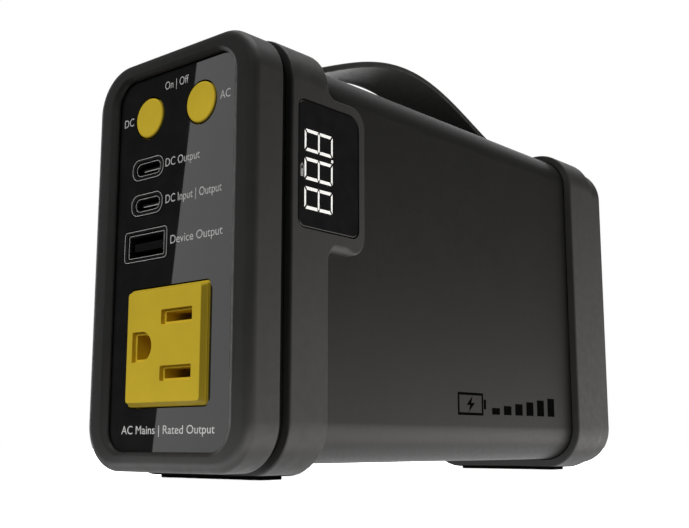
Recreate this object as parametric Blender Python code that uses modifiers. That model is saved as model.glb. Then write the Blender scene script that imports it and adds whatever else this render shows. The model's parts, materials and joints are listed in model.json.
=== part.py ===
"""Portable power station: a tall, narrow box with a front rim, two collars and a strap handle.

Frame: metres, +Z up, the front panel faces -Y and the display is on the +X side.  The origin is
at the middle of the footprint, on the surface the feet stand on.  Depths are measured from the
front rim backwards.
"""
import math

import bmesh
import bpy
from mathutils import Matrix, Vector

MM = 0.001
GAP = 0.3 * MM                      # working clearance between neighbouring pieces
CORNER_SEGMENTS = 7                 # facets round each corner of the case

# Overall sizes
LENGTH = 159 * MM                   # front rim to rear rim
CENTRE_Z = 50.65 * MM               # height of the middle of the case

# Collars: the largest sections of the case; the feet sit under them
COLLAR_WIDTH = 56.4 * MM
COLLAR_HEIGHT = 99.9 * MM
COLLAR_CORNER = 12 * MM
FRONT_COLLAR = (11.8 * MM, 24.0 * MM)
REAR_COLLAR = (138.7 * MM, 152.7 * MM)
REAR_COLLAR_DROP = 0.45 * MM        # the rear collar's top lies this much below the front one's
EDGE_ROUND = 0.45 * MM              # small rounding on the edges of the collars

# Body tube
BODY_INSET = 2.6 * MM               # how far the tube lies below the collars all round
BODY_WALL = 2.2 * MM
BODY_SPAN = (5.3 * MM, 152.2 * MM)
BODY_WIDTH = COLLAR_WIDTH - 2 * BODY_INSET
BODY_HEIGHT = COLLAR_HEIGHT - 2 * BODY_INSET
BODY_CORNER = COLLAR_CORNER - BODY_INSET
BODY_SIDE = BODY_WIDTH / 2
BODY_TOP = CENTRE_Z + BODY_HEIGHT / 2

# Front bumper and panel
BUMPER_WIDTH = 56 * MM
BUMPER_HEIGHT = 98.2 * MM
BUMPER_CORNER = 11 * MM
BUMPER_END = 9.0 * MM
RIM_ROUND = 1.4 * MM
LIP_WIDTH = 44.8 * MM               # opening at the front face of the rim
LIP_HEIGHT = 90.6 * MM
LIP_CORNER = 7 * MM
LIP_ROUND = 0.8 * MM
PANEL_WIDTH = 41.4 * MM             # what the rim leaves visible of the panel
PANEL_HEIGHT = 89.2 * MM
PANEL_CORNER = 5.5 * MM
FUNNEL_END = 1.0 * MM
LEDGE_END = 1.4 * MM
PANEL_FACE = LEDGE_END + GAP
PANEL_BACK = PANEL_FACE + 2.2 * MM
PANEL_HIDDEN = 1.9 * MM             # edge of the panel that the ledge covers

# Rear end
REAR_TOP = 97.95 * MM               # the last stretch is a little lower than the collar
REAR_BOTTOM = 1.95 * MM
REAR_LEDGE = (153.0 * MM, 155.3 * MM)
LEDGE_WIDTH = 26 * MM               # opening inside the ledge that holds the rear cover
LEDGE_HEIGHT = 70 * MM
COVER_WIDTH = 42 * MM
COVER_HEIGHT = 88.6 * MM
COVER_THICKNESS = 1.8 * MM
COVER_FACE = REAR_LEDGE[1] + GAP + COVER_THICKNESS
COVER_SCREW_X = 16.6 * MM
COVER_SCREW_Z = 39.8 * MM
COVER_SCREW_HEAD = 2.15 * MM
COVER_SINK = 0.7 * MM
COVER_HOLE = 1.4 * MM
SCREW_HOLE = 1.8 * MM               # radius of the holes for the strap's screws

# Front panel layout (x from the middle, z above the floor)
BUTTON_X = {"dc": -9.5 * MM, "ac": 8.9 * MM}
BUTTON_Z = 84.95 * MM
BUTTON_RADIUS = 4.9 * MM
BUTTON_CLEARANCE = 0.4 * MM
BUTTON_FLANGE = 1.2 * MM
BUTTON_PROUD = 0.35 * MM
BUTTON_TRAVEL = 1.2 * MM
BUTTON_BACK = PANEL_BACK + 1.3 * MM
BUTTON_SEGMENTS = 36
PORT_X = -9.6 * MM
USB_C_Z = (72.55 * MM, 63.85 * MM)
USB_A_Z = 53.95 * MM
PORT_END = 12.2 * MM                # the ports end at the board behind them
PORT_WALL = 0.3 * MM
BEZEL_PROUD = 0.1 * MM
BOARD_THICKNESS = 1.6 * MM
USB_C_SIZES = {"shell": (8.94 * MM, 3.26 * MM), "shell_corner": 1.5 * MM,
               "bezel": (11.3 * MM, 5.0 * MM), "bezel_corner": 2.2 * MM,
               "tongue": (6.6 * MM, 0.75 * MM)}
USB_A_SIZES = {"shell": (13.1 * MM, 5.7 * MM), "shell_corner": 0.5 * MM,
               "bezel": (15.4 * MM, 7.3 * MM), "bezel_corner": 0.9 * MM,
               "tongue": (11.1 * MM, 1.9 * MM)}

# Outlet: a three-pin socket turned a quarter turn, pin spacing as the standard sets it
OUTLET_X = -0.45 * MM
OUTLET_Z = 29.75 * MM
OUTLET_FACE = 25.5 * MM
OUTLET_DRAFT = 0.9 * MM
OUTLET_CORNER = 0.9 * MM
OUTLET_END = 20 * MM
BLADE_SPACING = 12.7 * MM
BLADE_X = OUTLET_X + 4.6 * MM
EARTH_X = BLADE_X - 11.9 * MM
BLADE_RECESS = (10.5 * MM, 3.4 * MM)
BLADE_SLOT = (9.2 * MM, 2.2 * MM)
BLADE_CHAMBER = (9.6 * MM, 5.2 * MM)
RECESS_END = 1.0 * MM
SLOT_END = 6.0 * MM                 # the contacts start here
EARTH_RECESS = 6.9 * MM
EARTH_HOLE = 5.6 * MM

# Display tab on the +X side of the front collar
TAB_END = 37.0 * MM
TAB_Z = (50.8 * MM, 87.4 * MM)
TAB_CORNER = 5.0 * MM
TAB_FILLET = 3.0 * MM
WINDOW_SPAN = (13.9 * MM, 34.5 * MM)
WINDOW_Z = (55.45 * MM, 84.85 * MM)
WINDOW_CORNER = 2 * MM
WINDOW_THICKNESS = 1.1 * MM
WINDOW_LEDGE = 1.3 * MM             # what the window rests on all round

# Strap handle
STRAP_WIDTH = 17.6 * MM
STRAP_THICKNESS = 1.6 * MM
STRAP_END_Z = BODY_TOP - 0.25 * MM  # underside of the strap where the collars hold it
STRAP_RISE = 15.8 * MM
STRAP_APEX = 80.5 * MM              # depth of the highest point of the arch
STRAP_SWEEP = 1.7                   # how quickly the arch leaves the collars
STRAP_TUCK = 8 * MM                 # length held inside each collar
STRAP_POCKET_FLOOR = STRAP_END_Z - GAP

# Feet
FOOT_HALF_WIDTH = 17 * MM
FOOT_HEIGHT = 1.5 * MM
FOOT_DEPTH = 7.8 * MM
FOOT_SPANS = ((13.8 * MM, "front_foot_pad"), (140.9 * MM, "rear_foot_pad"))

# Battery and electronics
CELL_RADIUS = 9.1 * MM
CELL_START = 40 * MM
CELL_END = 105 * MM
CELL_PITCH = 19.6 * MM
CELL_SEGMENTS = 18
HOLDER_WIDTH = 42.4 * MM
HOLDER_HEIGHT = 81 * MM
HOLDER_DEPTH = 8 * MM
INVERTER_SPAN = (110 * MM, 148 * MM)
INVERTER_X = -18.6 * MM             # the side of the inverter board that carries the parts


def at(depth):
    """Y coordinate of a depth behind the front rim."""
    return depth - LENGTH / 2


# ---------------------------------------------------------------- collections and materials

def new_collection(name):
    collection = bpy.data.collections.new(name)
    bpy.context.scene.collection.children.link(collection)
    return collection


def material(name, colour, roughness, metallic=0.0):
    made = bpy.data.materials.get(name)
    if made is None:
        made = bpy.data.materials.new(name)
        made.use_nodes = True
        shader = made.node_tree.nodes["Principled BSDF"]
        shader.inputs["Base Color"].default_value = (*colour, 1.0)
        shader.inputs["Roughness"].default_value = roughness
        shader.inputs["Metallic"].default_value = metallic
        made.diffuse_color = (*colour, 1.0)
    return made


def case_plastic():
    return material("case_plastic", (0.03, 0.029, 0.028), 0.45)


def body_coating():
    return material("body_coating", (0.024, 0.0235, 0.023), 0.45)


def gloss_black():
    return material("gloss_black", (0.008, 0.008, 0.009), 0.08)


def yellow_plastic():
    return material("yellow_plastic", (0.52, 0.38, 0.045), 0.4)


def window_glass():
    return material("window_glass", (0.01, 0.01, 0.012), 0.05)


def bright_steel():
    return material("bright_steel", (0.62, 0.62, 0.63), 0.25, 1.0)


def black_steel():
    return material("black_steel", (0.05, 0.05, 0.055), 0.35, 1.0)


def brass():
    return material("brass", (0.72, 0.5, 0.2), 0.3, 1.0)


def rubber():
    return material("rubber", (0.015, 0.015, 0.015), 0.8)


def strap_rubber():
    return material("strap_rubber", (0.03, 0.03, 0.03), 0.6)


def black_nylon():
    return material("black_nylon", (0.02, 0.02, 0.02), 0.5)


def port_tongue():
    return material("port_tongue", (0.03, 0.03, 0.03), 0.4)


def circuit_board():
    return material("circuit_board", (0.02, 0.12, 0.05), 0.45)


def cell_wrap():
    return material("cell_wrap", (0.03, 0.22, 0.42), 0.35)


def holder_plastic():
    return material("holder_plastic", (0.05, 0.05, 0.05), 0.6)


def nickel():
    return material("nickel", (0.6, 0.58, 0.54), 0.3, 1.0)


def ferrite():
    return material("ferrite", (0.06, 0.06, 0.06), 0.7)


def copper_winding():
    return material("copper_winding", (0.65, 0.28, 0.1), 0.35, 1.0)


def aluminium():
    return material("aluminium", (0.7, 0.7, 0.72), 0.4, 1.0)


def insulation_sheet():
    return material("insulation_sheet", (0.35, 0.33, 0.28), 0.7)


# ---------------------------------------------------------------- modelling helpers

def add_object(name, bm, collection, surface=None):
    bmesh.ops.recalc_face_normals(bm, faces=bm.faces)
    mesh = bpy.data.meshes.new(name)
    bm.to_mesh(mesh)
    bm.free()
    made = bpy.data.objects.new(name, mesh)
    collection.objects.link(made)
    if surface is None:
        made.hide_render = True
        made.display_type = "WIRE"
    else:
        mesh.materials.append(surface)
    return made


def centre_on(made, point):
    """Put the object's origin at a world point without moving its shape."""
    made.data.transform(Matrix.Translation(-Vector(point)))
    made.location = point


def block(low, high):
    """A box between two corners, as a bmesh."""
    bm = bmesh.new()
    bmesh.ops.create_cube(bm, size=1.0)
    low, high = Vector(low), Vector(high)
    size = high - low
    bmesh.ops.scale(bm, vec=size, verts=bm.verts)
    bmesh.ops.translate(bm, vec=(low + high) / 2, verts=bm.verts)
    return bm


def round_edges(bm, axis, radius, segments):
    """Round the edges that run along one axis."""
    others = [i for i in range(3) if i != axis]
    edges = [e for e in bm.edges
             if all(abs(e.verts[0].co[i] - e.verts[1].co[i]) < 1e-7 for i in others)]
    bmesh.ops.bevel(bm, geom=edges, offset=radius, segments=segments, profile=0.5,
                    affect="EDGES", clamp_overlap=True)


def round_face_edges(bm, axis, value, radius, segments, keep=None):
    """Round the edges that lie in the plane where one coordinate has a value."""
    edges = [e for e in bm.edges
             if all(abs(v.co[axis] - value) < 1e-6 for v in e.verts)
             and (keep is None or keep(e))]
    bmesh.ops.bevel(bm, geom=edges, offset=radius, segments=segments, profile=0.5,
                    affect="EDGES", clamp_overlap=True)


def rounded_section(width, height, corner, span, centre_x=0.0, centre_z=CENTRE_Z,
                    segments=CORNER_SEGMENTS):
    """A rounded rectangle in XZ, drawn along Y between two depths."""
    bm = block((centre_x - width / 2, at(span[0]), centre_z - height / 2),
               (centre_x + width / 2, at(span[1]), centre_z + height / 2))
    round_edges(bm, 1, corner, segments)
    return bm


def taper(bm, depth, width_ratio, height_ratio, centre_x=0.0, centre_z=CENTRE_Z):
    """Scale the end of a section that lies at a depth."""
    for vert in bm.verts:
        if abs(vert.co.y - at(depth)) < 1e-6:
            vert.co.x = centre_x + (vert.co.x - centre_x) * width_ratio
            vert.co.z = centre_z + (vert.co.z - centre_z) * height_ratio


def turned_cylinder(radius, length, centre, turn, segments):
    bm = bmesh.new()
    bmesh.ops.create_cone(bm, cap_ends=True, segments=segments, radius1=radius, radius2=radius,
                          depth=length, matrix=Matrix.Translation(centre) @ turn)
    return bm


def cylinder(radius, span, centre_x, centre_z, segments=16):
    """A cylinder along Y between two depths."""
    return turned_cylinder(radius, span[1] - span[0], (centre_x, at(sum(span) / 2), centre_z),
                           Matrix.Rotation(math.radians(-90), 4, "X"), segments)


def upright_cylinder(radius, low, high, depth, segments=16):
    """A cylinder along Z in the middle plane, at a depth."""
    return turned_cylinder(radius, high - low, (0.0, at(depth), (low + high) / 2),
                           Matrix.Identity(4), segments)


def combine(made, other_bm, operation, name):
    """Add a Boolean of a helper solid, which goes to the cutters collection."""
    helper = add_object(made.name + "_" + name, other_bm, bpy.data.collections["cutters"])
    change = made.modifiers.new(name, "BOOLEAN")
    change.operation = operation
    change.solver = "EXACT"
    change.object = helper
    return made


def cut(made, other_bm, name):
    return combine(made, other_bm, "DIFFERENCE", name)


def join(made, other_bm, name):
    return combine(made, other_bm, "UNION", name)


def settled_mesh(made):
    """The mesh that an object's modifiers or curve settings give."""
    graph = bpy.context.evaluated_depsgraph_get()
    return bpy.data.meshes.new_from_object(made.evaluated_get(graph))


def settle(made):
    """Replace the mesh with its evaluated result, so that later steps can edit its edges."""
    mesh = settled_mesh(made)
    made.modifiers.clear()
    made.data = mesh
    return made


def soften(made, angle=35):
    """Smooth shading that keeps the crisp edges."""
    made.data.shade_smooth()
    made.data.set_sharp_from_angle(angle=math.radians(angle))
    return made


def arc(centre, radius, start, end, steps=6):
    """Points of an arc in a plane, angles in degrees."""
    points = []
    for i in range(steps + 1):
        angle = math.radians(start + (end - start) * i / steps)
        points.append((centre[0] + radius * math.cos(angle), centre[1] + radius * math.sin(angle)))
    return points


def prism(outline, low, high, place):
    """Draw a closed flat outline between two values; place turns (u, v, w) into a point."""
    curve = bpy.data.curves.new("outline", "CURVE")
    curve.dimensions = "2D"
    curve.fill_mode = "BOTH"
    curve.extrude = (high - low) / 2
    spline = curve.splines.new("POLY")
    spline.points.add(len(outline) - 1)
    spline.use_cyclic_u = True
    for point, (u, v) in zip(spline.points, outline):
        point.co = (u, v, 0.0, 1.0)
    guide = bpy.data.objects.new("outline", curve)
    bpy.context.scene.collection.objects.link(guide)
    bm = bmesh.new()
    bm.from_mesh(settled_mesh(guide))
    bpy.data.objects.remove(guide)
    bmesh.ops.remove_doubles(bm, verts=bm.verts, dist=0.001 * MM)
    for vert in bm.verts:
        vert.co = place(vert.co.x, vert.co.y, vert.co.z + (low + high) / 2)
    bmesh.ops.recalc_face_normals(bm, faces=bm.faces)
    bm.normal_update()
    bmesh.ops.dissolve_limit(bm, angle_limit=math.radians(0.1), verts=bm.verts, edges=bm.edges)
    return bm


# ---------------------------------------------------------------- case

def make_body_shell(parts):
    tube = rounded_section(BODY_WIDTH, BODY_HEIGHT, BODY_CORNER, BODY_SPAN)
    body = add_object("body_shell", tube, parts, body_coating())
    bore = rounded_section(BODY_WIDTH - 2 * BODY_WALL, BODY_HEIGHT - 2 * BODY_WALL,
                           BODY_CORNER - BODY_WALL, (BODY_SPAN[0] - MM, BODY_SPAN[1] + MM))
    cut(body, bore, "bore")
    near, far, low, high = module_way()
    cut(body, block((BODY_SIDE - BODY_WALL - MM, near, low), (BODY_SIDE + MM, far, high)),
        "display_opening")
    for name, near, far in strap_pockets():
        cut(body, strap_pocket(near, far, STRAP_POCKET_FLOOR, BODY_TOP + MM), name + "_pocket")
    for name, depth in strap_screws():
        cut(body, upright_cylinder(SCREW_HOLE, BODY_TOP - 4 * MM, BODY_TOP + MM, depth),
            name + "_hole")
    return soften(body)


def collar_bore(span):
    """The hole through a collar that slides over the body tube."""
    return rounded_section(BODY_WIDTH + 2 * GAP, BODY_HEIGHT + 2 * GAP, BODY_CORNER + GAP, span)


def foot_pocket(depth):
    return block((-FOOT_HALF_WIDTH - GAP, at(depth - GAP), -MM),
                 (FOOT_HALF_WIDTH + GAP, at(depth + FOOT_DEPTH + GAP), FOOT_HEIGHT + GAP))


def collar_seats(collar, end):
    """Cut what the foot, the strap and the strap's screw need; end 0 is the front one, 1 the rear."""
    cut(collar, foot_pocket(FOOT_SPANS[end][0]), "foot_pocket")
    name, near, far = strap_pockets()[end]
    cut(collar, strap_pocket(near, far, BODY_TOP - MM, STRAP_END_Z + STRAP_THICKNESS + GAP), name)
    depth = strap_screws()[end][1]
    cut(collar, upright_cylinder(SCREW_HOLE, BODY_TOP, BODY_TOP + 2.1 * MM, depth), "screw_hole")


def tab_outline():
    """Outline of the display tab: hollow fillets at the collar, round corners at the free end."""
    root = FRONT_COLLAR[1] - 2 * MM
    edge = FRONT_COLLAR[1] - EDGE_ROUND
    low, high = TAB_Z
    points = [(root, low - TAB_FILLET), (edge, low - TAB_FILLET)]
    points += arc((edge + TAB_FILLET, low - TAB_FILLET), TAB_FILLET, 180, 90)[1:]
    points += arc((TAB_END - TAB_CORNER, low + TAB_CORNER), TAB_CORNER, -90, 0)
    points += arc((TAB_END - TAB_CORNER, high - TAB_CORNER), TAB_CORNER, 0, 90)
    points += arc((edge + TAB_FILLET, high + TAB_FILLET), TAB_FILLET, 270, 180)
    points += [(root, high + TAB_FILLET)]
    return points


def on_side(u, v, w):
    """Outlines on the +X side: u is the depth, v the height, w the distance from the middle."""
    return (w, at(u), v)


def window_block(grow, near_x, far_x, corner):
    bm = block((near_x, at(WINDOW_SPAN[0] - grow), WINDOW_Z[0] - grow),
               (far_x, at(WINDOW_SPAN[1] + grow), WINDOW_Z[1] + grow))
    round_edges(bm, 0, corner, 5)
    return bm


def make_front_collar(parts):
    side = COLLAR_WIDTH / 2
    ring = rounded_section(COLLAR_WIDTH, COLLAR_HEIGHT, COLLAR_CORNER, FRONT_COLLAR)
    for depth in FRONT_COLLAR:
        round_face_edges(ring, 1, at(depth), EDGE_ROUND, 2)
    collar = add_object("front_collar", ring, parts, case_plastic())
    tab = prism(tab_outline(), BODY_SIDE - MM, side, on_side)
    behind_collar = at(FRONT_COLLAR[1] - MM)
    round_face_edges(tab, 0, side, EDGE_ROUND, 2,
                     lambda edge: min(v.co.y for v in edge.verts) > behind_collar)
    join(collar, tab, "tab")
    cut(collar, collar_bore((FRONT_COLLAR[0] - MM, TAB_END + MM)), "bore")
    seat = window_block(GAP, side - WINDOW_THICKNESS - GAP, side + MM, WINDOW_CORNER + GAP)
    cut(collar, seat, "window_seat")
    cut(collar, window_block(-WINDOW_LEDGE, BODY_SIDE - MM, side + MM, MM), "window_opening")
    collar_seats(collar, 0)
    return soften(collar)


def make_rear_collar(parts):
    ring = rounded_section(COLLAR_WIDTH, COLLAR_HEIGHT - REAR_COLLAR_DROP, COLLAR_CORNER,
                           REAR_COLLAR, 0.0, CENTRE_Z - REAR_COLLAR_DROP / 2)
    for depth in REAR_COLLAR:
        round_face_edges(ring, 1, at(depth), EDGE_ROUND, 2)
    collar = add_object("rear_collar", ring, parts, case_plastic())
    end = rounded_section(COLLAR_WIDTH, REAR_TOP - REAR_BOTTOM, COLLAR_CORNER - MM,
                          (REAR_COLLAR[1] - 3 * MM, LENGTH), 0.0, (REAR_TOP + REAR_BOTTOM) / 2)
    round_face_edges(end, 1, at(LENGTH), RIM_ROUND, 3)
    join(collar, end, "end")
    cut(collar, collar_bore((REAR_COLLAR[0] - MM, REAR_LEDGE[0])), "bore")
    cut(collar, rounded_section(LEDGE_WIDTH, LEDGE_HEIGHT, 3 * MM,
                                (REAR_LEDGE[0] - MM, LENGTH), segments=3), "opening")
    cut(collar, rounded_section(COVER_WIDTH + 2 * GAP, COVER_HEIGHT + 2 * GAP, PANEL_CORNER,
                                (REAR_LEDGE[1], LENGTH + MM)), "cover_seat")
    start = LENGTH - 1.1 * MM
    funnel = rounded_section(LIP_WIDTH, LIP_HEIGHT, LIP_CORNER, (start, LENGTH + 0.5 * MM))
    taper(funnel, start, (COVER_WIDTH + 2 * GAP) / LIP_WIDTH, (COVER_HEIGHT + 2 * GAP) / LIP_HEIGHT)
    cut(collar, funnel, "lip")
    for index, (x, z) in enumerate(cover_screw_places()):
        pilot = cylinder(COVER_HOLE, (REAR_LEDGE[0] - 2 * MM, LENGTH), x, z, 12)
        cut(collar, pilot, "pilot_%d" % index)
    collar_seats(collar, 1)
    return soften(collar)


def on_lip(edge):
    """Whether an edge belongs to the opening of the rim and turns a corner there."""
    reach_x = LIP_WIDTH / 2 + 0.1 * MM
    reach_z = LIP_HEIGHT / 2 + 0.1 * MM
    inside = all(abs(v.co.x) < reach_x and abs(v.co.z - CENTRE_Z) < reach_z for v in edge.verts)
    return inside and len(edge.link_faces) == 2 and edge.calc_face_angle() > math.radians(20)


def round_lip(made, depth):
    """Round the inner edge of a rim, where its opening meets its face."""
    bm = bmesh.new()
    bm.from_mesh(made.data)
    bmesh.ops.remove_doubles(bm, verts=bm.verts, dist=0.002 * MM)
    round_face_edges(bm, 1, at(depth), LIP_ROUND, 2, on_lip)
    bm.to_mesh(made.data)
    bm.free()


def make_front_bumper(parts):
    ring = rounded_section(BUMPER_WIDTH, BUMPER_HEIGHT, BUMPER_CORNER, (0.0, BUMPER_END))
    round_face_edges(ring, 1, at(0.0), RIM_ROUND, 3)
    round_face_edges(ring, 1, at(BUMPER_END), EDGE_ROUND, 2)
    bumper = add_object("front_bumper", ring, parts, case_plastic())
    funnel = rounded_section(LIP_WIDTH, LIP_HEIGHT, LIP_CORNER, (-MM, FUNNEL_END))
    taper(funnel, FUNNEL_END, PANEL_WIDTH / LIP_WIDTH, PANEL_HEIGHT / LIP_HEIGHT)
    cut(bumper, funnel, "lip")
    cut(bumper, rounded_section(PANEL_WIDTH, PANEL_HEIGHT, PANEL_CORNER, (0.0, LEDGE_END + MM)),
        "opening")
    border = 2 * PANEL_HIDDEN + 2 * GAP
    cut(bumper, rounded_section(PANEL_WIDTH + border, PANEL_HEIGHT + border,
                                PANEL_CORNER + PANEL_HIDDEN, (LEDGE_END, BUMPER_END + MM)),
        "panel_seat")
    cut(bumper, collar_bore((BODY_SPAN[0] - GAP, BUMPER_END + MM)), "body_seat")
    round_lip(settle(bumper), 0.0)
    return soften(bumper, 30)


def make_feet(parts):
    for depth, name in FOOT_SPANS:
        pad = block((-FOOT_HALF_WIDTH, at(depth), 0.0),
                    (FOOT_HALF_WIDTH, at(depth + FOOT_DEPTH), FOOT_HEIGHT))
        round_edges(pad, 2, 1.2 * MM, 4)
        soften(add_object(name, pad, parts, rubber()))


def cover_screw_places():
    return [(x, CENTRE_Z + z) for x in (-COVER_SCREW_X, COVER_SCREW_X)
            for z in (-COVER_SCREW_Z, COVER_SCREW_Z)]


def make_rear_cover(parts):
    back = COVER_FACE - COVER_THICKNESS
    plate = rounded_section(COVER_WIDTH, COVER_HEIGHT, PANEL_CORNER - GAP, (back, COVER_FACE))
    cover = add_object("rear_cover", plate, parts, case_plastic())
    for index, (x, z) in enumerate(cover_screw_places()):
        hole = cylinder(COVER_HOLE, (back - MM, COVER_FACE + MM), x, z, 12)
        cut(cover, hole, "hole_%d" % index)
        sink = cylinder(COVER_SCREW_HEAD + 0.35 * MM, (COVER_FACE - COVER_SINK, COVER_FACE + MM), x, z)
        cut(cover, sink, "sink_%d" % index)
    return soften(cover)


def make_cover_screws(parts):
    names = ("cover_screw_lower_left", "cover_screw_upper_left",
             "cover_screw_lower_right", "cover_screw_upper_right")
    seat = COVER_FACE - COVER_SINK + GAP
    top = COVER_FACE + COVER_SINK
    for name, (x, z) in zip(names, cover_screw_places()):
        screw = add_object(name, cylinder(COVER_SCREW_HEAD, (seat, top), x, z), parts, black_steel())
        tip = REAR_LEDGE[0] - 1.2 * MM
        join(screw, cylinder(COVER_HOLE - GAP, (tip, seat + 0.3 * MM), x, z, 12), "shank")
        for turn in (0, 90):
            slot = block((-1.3 * MM, -0.5 * MM, -0.3 * MM), (1.3 * MM, 0.5 * MM, 0.3 * MM))
            bmesh.ops.rotate(slot, cent=(0, 0, 0), verts=slot.verts,
                             matrix=Matrix.Rotation(math.radians(turn), 3, "Y"))
            bmesh.ops.translate(slot, vec=(x, at(top), z), verts=slot.verts)
            cut(screw, slot, "slot_%d" % turn)
        soften(screw)


# ---------------------------------------------------------------- display

def module_way():
    """The opening in the body tube's side behind the window, as Y and Z limits."""
    border = WINDOW_LEDGE + 0.4 * MM
    return (at(WINDOW_SPAN[0] + WINDOW_LEDGE), at(WINDOW_SPAN[1] - WINDOW_LEDGE),
            WINDOW_Z[0] + border, WINDOW_Z[1] - border)


def make_display(parts):
    side = COLLAR_WIDTH / 2
    window = window_block(0.0, side - WINDOW_THICKNESS, side, WINDOW_CORNER)
    soften(add_object("display_window", window, parts, window_glass()))
    near, far, low, high = module_way()
    back = BODY_SIDE - 4.6 * MM
    front = side - WINDOW_THICKNESS - 2 * GAP
    module = block((back, near + GAP, low + GAP), (front, far - GAP, high - GAP))
    add_object("display_module", module, parts, gloss_black())


# ---------------------------------------------------------------- front panel and controls

def port_section(size, corner, z, span):
    return rounded_section(size[0], size[1], corner, span, PORT_X, z, 4)


def grown(size, amount):
    """A width and height, both made larger by an amount on each side."""
    return size[0] + 2 * amount, size[1] + 2 * amount


def ports():
    """Name and height of each port, and the sizes of its kind."""
    return (("usb_c_upper", USB_C_Z[0], USB_C_SIZES),
            ("usb_c_lower", USB_C_Z[1], USB_C_SIZES),
            ("usb_a", USB_A_Z, USB_A_SIZES))


def make_front_panel(parts):
    plate = rounded_section(PANEL_WIDTH + 2 * PANEL_HIDDEN, PANEL_HEIGHT + 2 * PANEL_HIDDEN,
                            PANEL_CORNER + PANEL_HIDDEN - GAP, (PANEL_FACE, PANEL_BACK))
    panel = add_object("front_panel", plate, parts, gloss_black())
    through = (PANEL_FACE - MM, PANEL_BACK + MM)
    for name, x in BUTTON_X.items():
        hole = cylinder(BUTTON_RADIUS + BUTTON_CLEARANCE, through, x, BUTTON_Z, BUTTON_SEGMENTS)
        cut(panel, hole, name + "_hole")
    for name, z, sizes in ports():
        opening = port_section(grown(sizes["bezel"], GAP), sizes["bezel_corner"] + GAP, z, through)
        cut(panel, opening, name)
    hole = OUTLET_FACE + 2 * OUTLET_DRAFT + 2 * GAP
    cut(panel, outlet_section(hole, OUTLET_CORNER + GAP, through), "outlet_hole")
    return soften(panel)


def make_port_bezel(parts, name, z, sizes):
    outside = port_section(sizes["bezel"], sizes["bezel_corner"], z,
                           (PANEL_FACE - BEZEL_PROUD, PANEL_BACK))
    bezel = add_object(name + "_bezel", outside, parts, black_nylon())
    opening = port_section(grown(sizes["shell"], GAP), sizes["shell_corner"] + GAP, z,
                           (0.0, PANEL_BACK + MM))
    cut(bezel, opening, "opening")
    soften(bezel)


def make_port_shell(parts, name, z, sizes):
    outside = port_section(sizes["shell"], sizes["shell_corner"], z,
                           (PANEL_FACE + 0.2 * MM, PORT_END))
    shell = add_object(name + "_shell", outside, parts, bright_steel())
    bore = port_section(grown(sizes["shell"], -PORT_WALL), sizes["shell_corner"] - PORT_WALL, z,
                        (0.0, PORT_END + MM))
    cut(shell, bore, "bore")
    soften(shell)


def make_port_tongue(parts, name, z, sizes):
    blade = port_section(sizes["tongue"], sizes["tongue"][1] * 0.2, z,
                         (PANEL_FACE + 1.2 * MM, PORT_END - MM))
    tongue = add_object(name + "_tongue", blade, parts, port_tongue())
    inner = PORT_WALL + GAP
    corner = max(sizes["shell_corner"] - inner, 0.2 * MM)
    base = port_section(grown(sizes["shell"], -inner), corner, z, (PORT_END - 2.5 * MM, PORT_END))
    join(tongue, base, "base")
    soften(tongue)


def make_ports(parts):
    for name, z, sizes in ports():
        make_port_bezel(parts, name, z, sizes)
        make_port_shell(parts, name, z, sizes)
        make_port_tongue(parts, name, z, sizes)


def make_buttons(parts):
    face = PANEL_FACE - BUTTON_PROUD
    for name, x in BUTTON_X.items():
        cap = cylinder(BUTTON_RADIUS, (face, PANEL_BACK + 2 * GAP), x, BUTTON_Z, BUTTON_SEGMENTS)
        round_face_edges(cap, 1, at(face), EDGE_ROUND, 2)
        button = add_object(name + "_button", cap, parts, yellow_plastic())
        flange = cylinder(BUTTON_RADIUS + BUTTON_FLANGE, (PANEL_BACK + GAP, BUTTON_BACK),
                          x, BUTTON_Z, BUTTON_SEGMENTS)
        join(button, flange, "flange")
        centre_on(settle(button), (x, at(face), BUTTON_Z))
        soften(button)


def make_switches(parts):
    rest = BUTTON_BACK + BUTTON_TRAVEL + GAP
    half = 3 * MM
    for name, x in BUTTON_X.items():
        body = block((x - half, at(rest + MM), BUTTON_Z - half),
                     (x + half, at(PORT_END), BUTTON_Z + half))
        switch = add_object(name + "_switch", body, parts, black_nylon())
        join(switch, cylinder(1.7 * MM, (rest, rest + 1.5 * MM), x, BUTTON_Z), "plunger")
        soften(switch)


def make_port_board(parts):
    start = PORT_END + GAP
    low, high = 46.5 * MM, 91.5 * MM
    board = block((-19 * MM, at(start), low), (19 * MM, at(start + BOARD_THICKNESS), high))
    add_object("port_board", board, parts, circuit_board())


# ---------------------------------------------------------------- outlet

def earth_shape(size, span):
    """The earth opening: round on one side, flat on the other."""
    half = size / 2
    flat = EARTH_X - half
    outline = [(flat, OUTLET_Z + half), (flat, OUTLET_Z - half)]
    outline += arc((EARTH_X, OUTLET_Z), half, -90, 90, 10)
    return prism(outline, span[0], span[1], lambda u, v, w: (u, at(w), v))


def blade_section(size, corner, z, span):
    return rounded_section(size[0], size[1], corner, span, BLADE_X, z, 2)


def outlet_section(size, corner, span):
    return rounded_section(size, size, corner, span, OUTLET_X, OUTLET_Z, 3)


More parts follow.
